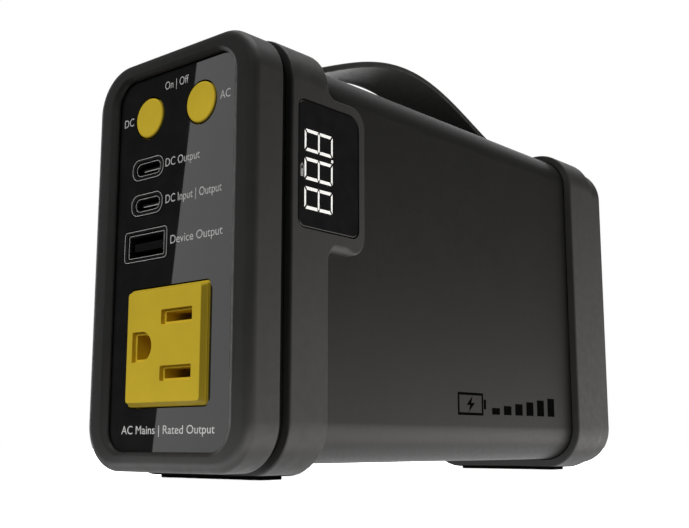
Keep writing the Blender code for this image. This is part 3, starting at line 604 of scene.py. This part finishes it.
def smooth(share):
    share = min(max(share, 0.0), 1.0)
    return share * share * (3 - 2 * share)


def tab_rounding(y, z):
    """Radius of the tab's outer edge: large along the underside, small elsewhere."""
    if z > sum(TAB_Z) / 2:
        return EDGE_ROUND
    growing = smooth((y - COLLAR_BACK) / (2.4 * MM))
    fading = smooth((at(34.4 * MM) - y) / (4.4 * MM))
    return EDGE_ROUND + (UNDERSIDE_ROUND - EDGE_ROUND) * growing * fading


def display_tab():
    """The tab that carries the display: hollow fillets at the collar, round corners at the end."""
    root, edge = COLLAR_BACK - 2 * MM, COLLAR_BACK - EDGE_ROUND
    end = FRONT[1].y
    low, high = TAB_Z
    outline = [(root, low - TAB_FILLET)]
    outline += arc((edge + TAB_FILLET, low - TAB_FILLET), TAB_FILLET, 180, 90)
    start, stop, count = edge + TAB_FILLET, end - TAB_CORNER, 8
    outline += [(start + (stop - start) * step / count, low) for step in range(1, count)]
    outline += arc((end - TAB_CORNER, low + TAB_CORNER), TAB_CORNER, -90, 0, 14)
    outline += arc((end - TAB_CORNER, high - TAB_CORNER), TAB_CORNER, 0, 90, 14)
    outline += arc((edge + TAB_FILLET, high + TAB_FILLET), TAB_FILLET, 270, 180)
    outline += [(root, high + TAB_FILLET)]
    points = [Vector(point) for point in outline]
    inward = []
    for before, after in zip([points[-1], *points[:-1]], [*points[1:], points[0]]):
        along = (after - before).normalized()
        inward.append(Vector((-along.y, along.x)))
    radii = [tab_rounding(*point) for point in points]
    loops = []
    steps = 6
    for step in range(steps + 1):
        angle = math.radians(90 * step / steps)
        ring = []
        for point, normal, radius in zip(points, inward, radii):
            moved = point + normal * radius * (1 - math.sin(angle))
            ring.append(Vector((SIDE - radius * (1 - math.cos(angle)), *moved)))
        loops.append(ring)
    loops.append([Vector((TUBE[1].x + GAP, *point)) for point in points])
    return loft(loops, False)


def foot_pocket(name):
    low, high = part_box(name)
    return block((low.x - GAP, low.y - GAP, -MM), (high.x + GAP, high.y + GAP, high.z + GAP))


def strap_slot(near, far, low_z, high_z):
    return block((STRAP[0].x - GAP, near, low_z), (STRAP[1].x + GAP, far, high_z))


def cylinder(centre, radius, height, segments, turn=Matrix()):
    bm = bmesh.new()
    bmesh.ops.create_cone(bm, cap_ends=True, segments=segments, radius1=radius, radius2=radius,
                          depth=height, matrix=Matrix.Translation(centre) @ turn)
    return bm


def upright_hole(name, low_z, high_z):
    """What a strap screw's hole cuts away between two heights."""
    x, y, _ = centre_of(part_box(name))
    return cylinder((x, y, (low_z + high_z) / 2), SCREW_HOLE, high_z - low_z, 24)


def make_front_collar():
    """The collar with its display tab, the seat for the window and the opening behind it."""
    outer = (size_of(FRONT).x, size_of(FRONT).z, COLLAR_CORNER)
    near = FRONT[0].y
    loops = outer_round(*outer, near, EDGE_ROUND, 1, 4)
    loops += outer_round(*outer, COLLAR_BACK, EDGE_ROUND, -1, 4)[::-1]
    loops += [loop(*BORE, COLLAR_BACK), loop(*BORE, near)]
    low, high = WINDOW
    seat = side_prism(window_outline(GAP), low.x - GAP, high.x + MM)
    ledge = 1.3 * MM
    opening = rounded_box((TUBE[1].x - MM, low.y + ledge, low.z + ledge),
                          (high.x + MM, high.y - ledge, high.z - ledge), 0, MM, 4)
    top = TUBE[1].z
    collar = carve(loft(loops, True), (ADD, display_tab()), (CUT, seat), (CUT, opening),
                   (CUT, foot_pocket("front_foot_pad")),
                   (CUT, strap_slot(STRAP[0].y - GAP, COLLAR_BACK + MM, top - MM, STRAP_END_TOP)),
                   (CUT, upright_hole("handle_screw_front", top, top + COLLAR_WALL)))
    place("front_collar_shell", collar, "case_plastic", ["front_collar"])


COVER_SCREWS = ("cover_screw_lower_left", "cover_screw_upper_left",
                "cover_screw_lower_right", "cover_screw_upper_right")
REAR_STEP = at(152.7 * MM)              # where the rear collar steps down to its end stretch
REAR_STEP_LENGTH = 1.1 * MM
REAR_END_HEIGHT = 96.0 * MM
REAR_END_Z = 49.95 * MM


def make_rear_collar():
    """The collar, its slightly lower end stretch, and the rim round the rear cover, in one loft."""
    width = size_of(REAR).x
    near, far = REAR[0].y, REAR[1].y
    ring = (width, size_of(REAR).z, COLLAR_CORNER)
    ring_z = centre_of(REAR)[2]
    end = (width, REAR_END_HEIGHT, COLLAR_CORNER - MM)
    loops = outer_round(*ring, near, EDGE_ROUND, 1, 4, ring_z)
    steps = 8
    for step in range(steps + 1):
        share = (1 - math.cos(math.pi * step / steps)) / 2
        size = [start + (stop - start) * share for start, stop in zip(ring, end)]
        y = REAR_STEP - REAR_STEP_LENGTH / 2 + REAR_STEP_LENGTH * step / steps
        loops.append(loop(*size, y, ring_z + (REAR_END_Z - ring_z) * share))
    loops += outer_round(*end, far, REAR_RIM_ROUND, -1, 8, REAR_END_Z)[::-1]
    loops += lip_loops(far, -1)[::-1]
    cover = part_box("rear_cover")
    seat = (size_of(cover).x + 2 * GAP, size_of(cover).z + 2 * GAP, OPENING[2])
    ledge, ledge_y = (26 * MM, 70 * MM, 3 * MM), cover[0].y - GAP
    bore_end = at(153 * MM)
    loops += [loop(*seat, far - 1.3 * MM), loop(*seat, ledge_y)]
    loops += [loop(*ledge, ledge_y), loop(*ledge, bore_end)]
    loops += [loop(*BORE, bore_end), loop(*BORE, near)]
    top = TUBE[1].z
    cuts = [(CUT, foot_pocket("rear_foot_pad")),
            (CUT, strap_slot(near - MM, STRAP[1].y + GAP, top - MM, STRAP_END_TOP)),
            (CUT, upright_hole("handle_screw_rear", top, top + COLLAR_WALL))]
    lying = Matrix.Rotation(math.radians(90), 4, "X")
    for name in COVER_SCREWS:
        x, _, z = centre_of(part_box(name))
        cuts.append((CUT, cylinder((x, bore_end, z), COVER_HOLE, 8 * MM, 20, lying)))
    place("rear_collar_shell", carve(loft(loops, True), *cuts), "case_plastic", ["rear_collar"])


def make_tube():
    """The body tube, with its display opening and the shallow pockets for the strap."""
    near, far = TUBE[0].y, TUBE[1].y
    outer = (size_of(TUBE).x, size_of(TUBE).z, TUBE_CORNER)
    inner = (outer[0] - 2 * TUBE_WALL, outer[1] - 2 * TUBE_WALL, TUBE_CORNER - TUBE_WALL)
    loops = [loop(*outer, near), loop(*outer, far), loop(*inner, far), loop(*inner, near)]
    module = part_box("display_module")
    top = TUBE[1].z
    floor, run_out = top - STRAP_POCKET - GAP, 4.4 * MM
    cuts = [(CUT, block((TUBE[1].x - 2 * TUBE_WALL, module[0].y - GAP, module[0].z - GAP),
                        (TUBE[1].x + MM, module[1].y + GAP, module[1].z + GAP))),
            (CUT, strap_slot(STRAP[0].y - GAP, COLLAR_BACK + run_out, floor, top + MM)),
            (CUT, strap_slot(REAR[0].y - run_out, STRAP[1].y + GAP, floor, top + MM)),
            (CUT, upright_hole("handle_screw_front", top - 4 * MM, top + MM)),
            (CUT, upright_hole("handle_screw_rear", top - 4 * MM, top + MM))]
    place("body_tube", carve(loft(loops, True), *cuts), "body_coating", ["body_shell"])


def make_feet():
    """Foot pads with rounded edges and shallow grooves across the underside."""
    for name in ("front_foot_pad", "rear_foot_pad"):
        low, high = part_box(name)
        bm = rounded_box(low, high, 2, 1.2 * MM, 8)
        round_edges(bm, lies_at(2, low.z), 0.3 * MM, 3)
        grooves = []
        count = 3
        for index in range(count):
            y = low.y + (high - low).y * (index + 1) / (count + 1)
            grooves.append((CUT, rounded_box((low.x + 2 * MM, y - 0.5 * MM, -MM),
                                             (high.x - 2 * MM, y + 0.5 * MM, 0.4 * MM), 2,
                                             0.45 * MM, 6)))
        place(name + "_rubber", carve(bm, *grooves), "rubber", [name])


# ---------------------------------------- strap

STRAP_APEX = at(80.5 * MM)
STRAP_SWEEP = (1.5, 1.7)               # how steeply it rises at the front and at the rear


def strap_height(y):
    """Underside of the strap: level at the collars, arched between them."""
    ends = (COLLAR_BACK - 0.2 * MM, REAR[0].y + 0.2 * MM)
    foot = STRAP[0].z
    rise = STRAP[1].z - STRAP_THICKNESS - foot
    side = 0 if y < STRAP_APEX else 1
    along = min((y - STRAP_APEX) / (ends[side] - STRAP_APEX), 1.0)
    return foot + rise * math.cos(math.pi / 2 * along) ** STRAP_SWEEP[side]


def strap_section(y, z, normal):
    """A band with rounded long edges, and borders a little thicker than its middle."""
    half = size_of(STRAP).x / 2
    edge, step = 0.35 * MM, 0.12 * MM
    border, field = half - 1.9 * MM, half - 2.4 * MM
    points = [(field, step), (border, 0.0)]
    points += arc((half - edge, edge), edge, -90, 0, 4)
    points += arc((half - edge, STRAP_THICKNESS - edge), edge, 0, 90, 4)
    points += [(border, STRAP_THICKNESS), (field, STRAP_THICKNESS - step)]
    points += [(-x, up) for x, up in points[::-1]]
    return [Vector((x, y, z)) + normal * up for x, up in points]


def make_strap():
    """The band, swept along its arch, with a hole for a screw at each end."""
    steps = 90
    reach = 0.1 * MM                    # to either side, where the slope is measured
    loops = []
    for step in range(steps + 1):
        y = STRAP[0].y + size_of(STRAP).y * step / steps
        slope = (strap_height(y + reach) - strap_height(y - reach)) / (2 * reach)
        normal = Vector((0, -slope, 1)).normalized()
        loops.append(strap_section(y, strap_height(y), normal))
    low, high = TUBE[1].z - 2 * MM, TUBE[1].z + 4 * MM
    band = carve(loft(loops, False), (CUT, upright_hole("handle_screw_front", low, high)),
                 (CUT, upright_hole("handle_screw_rear", low, high)))
    place("strap_band", band, "strap_rubber", ["handle_strap"], angle=40)


# ---------------------------------------- display

def window_outline(margin=0.0):
    """The window's outline in Y and Z, with a larger radius at its far upper corner."""
    near, far = WINDOW[0].y - margin, WINDOW[1].y + margin
    bottom, top = WINDOW[0].z - margin, WINDOW[1].z + margin
    radius, large = 2 * MM + margin, 3.4 * MM + margin
    outline = arc((near + radius, bottom + radius), radius, 180, 270)
    outline += arc((far - radius, bottom + radius), radius, 270, 360)
    outline += arc((far - large, top - large), large, 0, 90)
    outline += arc((near + radius, top - radius), radius, 90, 180)
    return outline


def make_window():
    bm = side_prism(window_outline(), WINDOW[0].x, GLASS)
    round_edges(bm, lies_at(0, GLASS), 0.3 * MM, 3)
    place("display_glass", bm, "window_glass", ["display_window"])


def ink_shape(points, face):
    """A flat printed shape on the +X side; points are (Y, Z)."""
    return side_prism(points, face, face + INK)


def ink_block(face, y, z, width, height):
    return block((face, y, z), (face + INK, y + width, z + height))


def merge(parts):
    """One bmesh from several."""
    whole = bmesh.new()
    for part in parts:
        mesh = bpy.data.meshes.new("part")
        part.to_mesh(mesh)
        part.free()
        whole.from_mesh(mesh)
        bpy.data.meshes.remove(mesh)
    return whole


DIGIT_DEPTHS = (15.76 * MM, 25.24 * MM)         # the digits lie on their side
DIGIT_WIDTH = 5.15 * MM
STROKE = 0.74 * MM
THIN_STROKE = 0.52 * MM
SEGMENT_GAP = 0.27 * MM


def digit_bars(centre_z):
    """The seven bars of an eight, mitred at the corners, as (Y, Z) outlines."""
    start, end = (at(depth) for depth in DIGIT_DEPTHS)
    middle = (start + end) / 2
    half, wide, thin, gap = DIGIT_WIDTH / 2, STROKE, THIN_STROKE, SEGMENT_GAP
    bars = []
    for edge, inner in ((start, start + thin), (end, end - thin)):
        bars.append([(edge, half - gap), (edge, gap - half),
                     (inner, gap + wide - half), (inner, half - gap - wide)])
    tip, shoulder = half - gap, half - wide / 2 - gap
    left, right = middle - thin / 2, middle + thin / 2
    bars.append([(middle, tip), (right, shoulder), (right, -shoulder), (middle, -tip),
                 (left, -shoulder), (left, shoulder)])
    for edge, side in ((start, 1), (end, -1)):
        for level in (half, -half):
            inner = level - math.copysign(wide, level)
            bars.append([(edge + side * 1.4 * gap, level), (middle - side * gap, level),
                         (middle - side * 0.72 * wide, inner),
                         (edge + side * (thin + 1.4 * gap), inner)])
    return [[(y, centre_z + z) for y, z in bar] for bar in bars]


def make_digits():
    """Three seven-segment eights, stacked, with a decimal dot."""
    for index, centre_z in enumerate((75.6 * MM, 68.95 * MM, 62.2 * MM)):
        bars = [ink_shape(line, GLASS) for line in digit_bars(centre_z)]
        place("digit_%d" % (index + 1), merge(bars), "lit_segment")
    dot = rounded_box((GLASS, at(24.8 * MM), 71.9 * MM), (GLASS + INK, at(25.4 * MM), 72.6 * MM),
                      0, 0.12 * MM, 3)
    place("decimal_dot", dot, "lit_segment")


def outline_frame(face, y, z, width, height, line):
    """A thin rectangular frame on the +X side, as four bars."""
    inner = height - 2 * line
    return [ink_block(face, y, z, width, line),
            ink_block(face, y, z + height - line, width, line),
            ink_block(face, y, z + line, line, inner),
            ink_block(face, y + width - line, z + line, line, inner)]


def make_display_mark():
    """A small battery sign beside the digits."""
    y, z = at(14.5 * MM), 66.9 * MM
    parts = outline_frame(GLASS, y, z, 0.9 * MM, 2.6 * MM, 0.14 * MM)
    parts += [ink_block(GLASS, y + 0.28 * MM, z + 2.7 * MM, 0.34 * MM, 0.3 * MM),
              ink_block(GLASS, y + 0.26 * MM, z + 0.26 * MM, 0.38 * MM, 1.44 * MM)]
    place("display_battery_sign", merge(parts), "print_and_highlight_grey")


# ---------------------------------------- controls

def turned(profile, centre, segments=72):
    """A turned shape round an axis along Y; profile is (radius, y), and its ends are capped."""
    loops = []
    for radius, y in profile:
        ring = []
        for step in range(segments):
            angle = 2 * math.pi * step / segments
            ring.append(Vector((centre[0] + radius * math.cos(angle), y,
                                centre[1] + radius * math.sin(angle))))
        loops.append(ring)
    return loft(loops, False)


def make_buttons():
    """Slightly dished caps with a rounded edge, and the flange that keeps them in the panel."""
    radius, edge, dish, dished = 4.9 * MM, 0.5 * MM, 0.13 * MM, 0.9
    flange_y = PANEL[1].y + GAP
    for name in ("dc_button", "ac_button"):
        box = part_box(name)
        x, _, z = centre_of(box)
        face, back = box[0].y, box[1].y
        flange = size_of(box).x / 2
        profile = [(radius * share, face + dish * (1 - (share / dished) ** 2))
                   for share in (0.05, 0.2, 0.35, 0.5, 0.65, 0.78, 0.86)]
        profile += arc((radius - edge, face + edge), edge, -90, 0, 8)
        profile += [(radius, flange_y), (flange - 0.2 * MM, flange_y),
                    (flange, flange_y + 0.2 * MM), (flange, back)]
        place(name + "_cap", turned(profile, (x, z)), "yellow_plastic", [name], body=name)


PORT_X = -9.6 * MM


def port_loop(width, height, corner, y, centre_z):
    return [point + Vector((PORT_X, 0, 0)) for point in loop(width, height, corner, y, centre_z)]


def port_ring(name, inner, line, near, far, centre_z, look):
    """A thin flat ring round a port; inner is the width, height and corner of its inside."""
    outer = (inner[0] + 2 * line, inner[1] + 2 * line, inner[2] + line)
    loops = [port_loop(*outer, near, centre_z), port_loop(*outer, far, centre_z),
             port_loop(*inner, far, centre_z), port_loop(*inner, near, centre_z)]
    place(name, loft(loops, True), look)


def make_port_trims():
    """A painted highlight ring round each port's bezel, standing in for the light its chamfered edge
    catches, and the edge of its metal shell.
    """
    for name, corner in (("usb_c_upper", 2.2 * MM), ("usb_c_lower", 2.2 * MM), ("usb_a", 0.9 * MM)):
        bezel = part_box(name + "_bezel")
        centre_z = centre_of(bezel)[2]
        width, _, height = size_of(bezel)
        front = bezel[0].y
        # A grey ring on the bezel's rim: a painted highlight for the light that its chamfered edge
        # catches.
        port_ring(name + "_outline", (width - 0.1 * MM, height - 0.1 * MM, corner), 0.13 * MM,
                  front - 0.04 * MM, front + 0.02 * MM, centre_z, "print_and_highlight_grey")
        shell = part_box(name + "_shell")
        width, _, height = size_of(shell)
        corner = 0.5 * MM if name == "usb_a" else height / 2 - 0.02 * MM
        front = shell[0].y
        inner = (width - 0.34 * MM, height - 0.34 * MM, corner - 0.17 * MM)
        port_ring(name + "_shell_edge", inner, 0.12 * MM,
                  front - 0.03 * MM, front + 0.02 * MM, centre_z, "port_edge")


def make_tongue_contacts():
    """Rows of plated contacts on each tongue, and the bright front edge of the narrow ones."""
    for name, count, pitch, width in (("usb_c_upper", 8, 0.7 * MM, 0.34 * MM),
                                      ("usb_c_lower", 8, 0.7 * MM, 0.34 * MM),
                                      ("usb_a", 4, 2.4 * MM, 1.1 * MM)):
        low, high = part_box(name + "_tongue")
        centre_z = (low.z + high.z) / 2
        half = 0.375 * MM if name != "usb_a" else 0.95 * MM
        parts = []
        for index in range(count):
            x = PORT_X + (index - (count - 1) / 2) * pitch
            for side in (-1, 1) if name != "usb_a" else (-1,):
                z = centre_z + side * half
                parts.append(block((x - width / 2, low.y + 0.35 * MM, z - 0.03 * MM),
                                   (x + width / 2, low.y + 4.2 * MM, z + 0.03 * MM)))
        place(name + "_contacts", merge(parts), "brass")
        if name != "usb_a":
            edge = block((PORT_X - 2.7 * MM, low.y - 0.02 * MM, centre_z - 0.33 * MM),
                         (PORT_X + 2.7 * MM, low.y + 0.1 * MM, centre_z - 0.12 * MM))
            place(name + "_plate_edge", edge, "print_and_highlight_grey")


# ---------------------------------------- outlet

OUTLET_X = (OUTLET[0].x + OUTLET[1].x) / 2
OUTLET_Z = (OUTLET[0].z + OUTLET[1].z) / 2
BLADE_X = OUTLET_X + 4.6 * MM
EARTH_X = BLADE_X - 11.9 * MM
BLADE_SPACING = 12.7 * MM

# Width, height and corner of what each blade slot is cut from
SLOT_RECESS = (10.5 * MM, 3.4 * MM, 0.3 * MM)
SLOT = (9.2 * MM, 2.2 * MM, 0.2 * MM)
SLOT_CHAMBER = (9.6 * MM, 5.2 * MM, 0.3 * MM)


def outlet_box(width, height, corner, near, far, x=OUTLET_X, z=0.0):
    return rounded_box((x - width / 2, near, OUTLET_Z + z - height / 2),
                       (x + width / 2, far, OUTLET_Z + z + height / 2), 1, corner, 6)


def earth_opening(size, near, far):
    """Round on one side and flat on the other."""
    half = size / 2
    outline = [(EARTH_X - half, OUTLET_Z - half)]
    outline += arc((EARTH_X, OUTLET_Z), half, -90, 90, 20)
    outline += [(EARTH_X - half, OUTLET_Z + half)]
    return prism([(x, near, z) for x, z in outline], (0, far - near, 0))


def make_outlet():
    """The three-pin socket: a raised square face with drafted sides and recessed openings."""
    face, base = 25.5 * MM, 27.3 * MM
    front, rear = OUTLET[0].y, OUTLET[1].y
    draft = outlet_box(base, base, 0.9 * MM, front, PANEL_FACE + 0.2 * MM)
    for vert in draft.verts:
        if abs(vert.co.y - front) < 1e-6:
            vert.co.x = OUTLET_X + (vert.co.x - OUTLET_X) * face / base
            vert.co.z = OUTLET_Z + (vert.co.z - OUTLET_Z) * face / base
    round_edges(draft, lies_at(1, front), 0.2 * MM, 3)
    body, flange = (26.9 * MM, 26.9 * MM, 0.8 * MM), (31.3 * MM, 31.3 * MM, 2 * MM)
    flange_y = PANEL[1].y
    steps = [(ADD, outlet_box(*body, PANEL_FACE - 0.3 * MM, rear)),
             (ADD, outlet_box(*flange, flange_y + GAP, flange_y + 1.8 * MM))]
    outside, recess = front - MM, front + 1.0 * MM
    for side in (-1, 1):
        for size, near, far in ((SLOT_RECESS, outside, recess), (SLOT, outside, front + 6 * MM),
                                (SLOT_CHAMBER, front + 5 * MM, rear + MM)):
            opening = outlet_box(*size, near, far, BLADE_X, side * BLADE_SPACING / 2)
            steps.append((CUT, opening))
    steps.append((CUT, earth_opening(6.9 * MM, outside, recess)))
    steps.append((CUT, earth_opening(5.6 * MM, outside, rear + MM)))
    bm = carve(draft, *steps)
    rim = lies_at(1, front)
    round_edges(bm, lambda e: rim(e) and len(e.link_faces) == 2 and e.calc_face_angle() > 1.0,
                0.16 * MM, 2)
    place("outlet_socket", bm, "yellow_plastic", ["outlet_block"])


# ---------------------------------------- printed marks

CAP_SHARE = 0.7                         # height of a capital letter in the built-in font


def text_mesh(words, height, width, x, z):
    """Generic words as thin raised ink on the panel, fitted to a width and a cap height."""
    curve = bpy.data.curves.new("words", "FONT")
    curve.body = words
    curve.align_x = "CENTER"
    curve.align_y = "CENTER"
    curve.size = height / CAP_SHARE
    curve.extrude = 0.008 * MM
    curve.offset = 0.004 * height
    curve.resolution_u = 4
    guide = bpy.data.objects.new("words", curve)
    bpy.context.scene.collection.objects.link(guide)
    bm = evaluated(guide)
    bpy.data.objects.remove(guide)
    xs = [v.co.x for v in bm.verts]
    ys = [v.co.y for v in bm.verts]
    centre = Vector(((min(xs) + max(xs)) / 2, (min(ys) + max(ys)) / 2, 0))
    stretch = width / (max(xs) - min(xs))
    for vert in bm.verts:
        flat = vert.co - centre
        vert.co = (x + flat.x * stretch, PANEL_FACE - 0.012 * MM - flat.z, z + flat.y)
    return bm


LABELS = (
    ("label_on_off", "On | Off", 2.0 * MM, 8.4 * MM, 0.0, 91.45 * MM),
    ("label_dc", "DC", 2.0 * MM, 3.6 * MM, -17.5 * MM, 85.3 * MM),
    ("label_ac", "AC", 2.0 * MM, 3.4 * MM, 16.9 * MM, 85.2 * MM),
    ("label_upper_port", "DC Output", 2.0 * MM, 12.0 * MM, 2.75 * MM, 72.5 * MM),
    ("label_lower_port", "DC Input | Output", 2.0 * MM, 19.2 * MM, 6.75 * MM, 63.65 * MM),
    ("label_wide_port", "Device Output", 2.0 * MM, 17.6 * MM, 8.1 * MM, 53.8 * MM),
    ("label_outlet", "AC Mains | Rated Output", 1.9 * MM, 32.0 * MM, -0.3 * MM, 10.7 * MM),
)


def make_labels():
    for name, words, height, width, x, z in LABELS:
        place(name, text_mesh(words, height, width, x, z), "print_and_highlight_grey", angle=60)


def make_side_mark():
    """A generic battery sign with a bolt and charge bars, printed on the side of the tube."""
    face = TUBE[1].x
    y, z = at(78 * MM), 15.4 * MM
    width, height = 12 * MM, 6 * MM
    parts = outline_frame(face, y, z, width, height, 0.7 * MM)
    parts.append(ink_block(face, y + width + 0.3 * MM, z + 1.7 * MM, 1.1 * MM, height - 3.4 * MM))
    middle = y + width / 2
    bolt = [(0.9, 5.1), (-2.0, 2.7), (-0.3, 2.7), (-0.9, 0.9), (2.0, 3.3), (0.3, 3.3)]
    parts.append(ink_shape([(middle + dy * MM, z + dz * MM) for dy, dz in bolt], face))
    bars = 6
    for index in range(bars):
        start = y + width + (4.4 + 6.0 * index) * MM
        parts.append(ink_block(face, start, z + 0.4 * MM, 3.9 * MM, (1.8 + 0.7 * index) * MM))
    place("side_battery_sign", merge(parts), "printed_black")


# ---------------------------------------- CAD nodes that stay

def dress_cad_nodes():
    """Give every CAD node that still shows its own detailed material and even shading."""
    for name, node in frame["nodes"].items():
        for entry in node.material_slots:
            entry.link = "OBJECT"
            entry.material = LOOKS[NODE_SLOTS[name]]
        if not node.hide_render:
            even_shading(node)


# ---------------------------------------- stage, light and camera

def make_floor():
    bm = bmesh.new()
    bmesh.ops.create_grid(bm, x_segments=1, y_segments=1, size=1.4)
    floor = new_object("floor", bm)
    made = Shader("floor_look", (0.86, 0.86, 0.855), 0.7)
    made.mottle(180 * MM, 0.01)
    made.roughness(60 * MM, 0.65, 0.75)
    floor.data.materials.append(made.material)
    floor.visible_diffuse = False       # the lamps alone light the object
    floor.visible_glossy = False
    return floor


MIDDLE = (0, 0, 0.05)                   # what most lamps point at
WARM = (1.0, 0.975, 0.945)


def area_light(name, location, target, size, radiance, receivers=(), spared=()):
    """A soft rectangular light, set by the brightness of its face.

    It may light only some pieces (receivers), or all pieces but some (spared).
    """
    data = bpy.data.lights.new(name, "AREA")
    data.shape = "RECTANGLE"
    data.size, data.size_y = size
    data.energy = radiance * math.pi * size[0] * size[1]
    light = bpy.data.objects.new(name, data)
    bpy.context.scene.collection.objects.link(light)
    light.location = location
    light.rotation_euler = (Vector(target) - Vector(location)).to_track_quat("-Z", "Y").to_euler()
    light.visible_camera = False
    if receivers or spared:
        group = bpy.data.collections.new(name + "_receivers")
        for piece in (*receivers, *spared):
            group.objects.link(piece)
        for member in group.collection_objects:
            member.light_linking.link_state = "EXCLUDE" if spared else "INCLUDE"
        light.light_linking.receiver_collection = group
    return light


def make_world():
    """White seen directly, and a dim grey as light."""
    world = bpy.data.worlds.new("studio")
    bpy.context.scene.world = world
    world.use_nodes = True
    tree = world.node_tree
    tree.nodes.clear()
    seen = tree.nodes.new("ShaderNodeBackground")
    seen.inputs["Color"].default_value = (1, 1, 1, 1)
    dim = tree.nodes.new("ShaderNodeBackground")
    dim.inputs["Color"].default_value = (0.03, 0.03, 0.03, 1)
    path = tree.nodes.new("ShaderNodeLightPath")
    mix = tree.nodes.new("ShaderNodeMixShader")
    out = tree.nodes.new("ShaderNodeOutputWorld")
    tree.links.new(path.outputs["Is Camera Ray"], mix.inputs["Fac"])
    tree.links.new(dim.outputs["Background"], mix.inputs[1])
    tree.links.new(seen.outputs["Background"], mix.inputs[2])
    tree.links.new(mix.outputs["Shader"], out.inputs["Surface"])


def floor_light(name, x, y, size, radiance, spared=()):
    """Light that the floor sends up."""
    return area_light(name, (x, y, 0.001), (x, y, 1), size, radiance, spared=spared)


def make_lights(floor):
    """Lamps above and in front, light from the floor, and cards for the reflections."""
    pieces = bpy.data.objects
    bumper, tube = pieces["bumper_shell"], pieces["body_tube"]
    collars = [bumper, pieces["front_collar_shell"], pieces["rear_collar_shell"]]
    yellow = [pieces[name] for name in ("outlet_socket", "dc_button_cap", "ac_button_cap")]
    base = area_light("floor_lamp", (0.0, 0.1, 1.5), (0, 0.1, 0), (3.2, 3.2), 5.2, [floor])
    base.data.use_shadow = False
    area_light("top_lamp", (0.1, 0.1, 1.3), (0, 0, 0), (1.2, 1.2), 2.6, spared=yellow)
    key = area_light("key_lamp", (-0.25, -1.5, 1.0), MIDDLE, (1.4, 1.4), 3.75)
    key.visible_glossy = False
    # The floor at the back right lights the display side.
    bounce = floor_light("floor_bounce", 0.779, 0.65, (1.5, 1.5), 1.75, yellow)
    bounce.data.color = WARM
    floor_light("under_bounce", 0.002, 0.03, (0.052, 0.24), 1.0)
    side = area_light("side_card", (0.9, 1.3, 0.2), MIDDLE, (1.6, 0.5), 0.65, collars)
    side.data.color = WARM
    floor_light("front_bounce", 0.02, -0.111, (0.1, 0.06), 0.65, yellow)
    # The card that the glossy panel reflects: its near edge gives the slanted line on the panel.
    panel = frame["nodes"]["front_panel"]
    slant = math.radians(7.6)
    width, edge_x, edge_z = 0.45, -0.6275, 0.1925
    card = area_light("panel_card", (0, 0, 0), (0, 1, 0), (width, 0.6), 1.35, [panel])
    card.location = (edge_x + width / 2 * math.cos(slant), -0.6, edge_z - width / 2 * math.sin(slant))
    card.rotation_euler = (math.radians(90), slant, 0)
    # A card low across the front from the left, for the sloping lip of the rim beside the panel.
    area_light("lip_card", (-1.2, -0.21, 0.1), (0, -0.08, 0.06), (0.2, 1.0), 4.2, [bumper])
    # A card behind on the left, for the bright outline along the left edges.
    area_light("edge_card", (-0.95, 1.05, 0.35), MIDDLE, (0.9, 0.7), 3.2)
    # The floor and a card light the faces turned away from the camera.
    floor_light("left_bounce", -0.779, 0.7, (1.5, 1.5), 1.75, [*yellow, pieces["strap_band"]])
    area_light("left_card", (-0.9, -0.9, 0.35), MIDDLE, (1.0, 0.8), 0.6, [tube])
    # What the top roundings reflect, seen against the light from behind.
    area_light("back_card", (-0.7, 1.3, 0.8), (0, 0, 0.08), (1.6, 0.8), 1.1, [tube, *collars])


def make_camera():
    """The view of the photograph: low, from the front right, slightly upwards."""
    data = bpy.data.cameras.new("camera")
    data.sensor_width = 36
    data.lens = 54.04
    data.clip_start = 0.01
    camera = bpy.data.objects.new("camera", data)
    bpy.context.scene.collection.objects.link(camera)
    camera.location = (0.18184, -0.22816, 0.00785)
    camera.rotation_euler = (math.radians(99.874), 0, math.radians(40.784))
    bpy.context.scene.camera = camera
    bpy.context.scene.view_settings.view_transform = "Standard"


make_bumper()
make_front_collar()
make_rear_collar()
make_tube()
make_feet()
make_strap()
make_window()
make_digits()
make_display_mark()
make_buttons()
make_port_trims()
make_tongue_contacts()
make_outlet()
make_labels()
make_side_mark()
dress_cad_nodes()
make_world()
make_lights(make_floor())
make_camera()
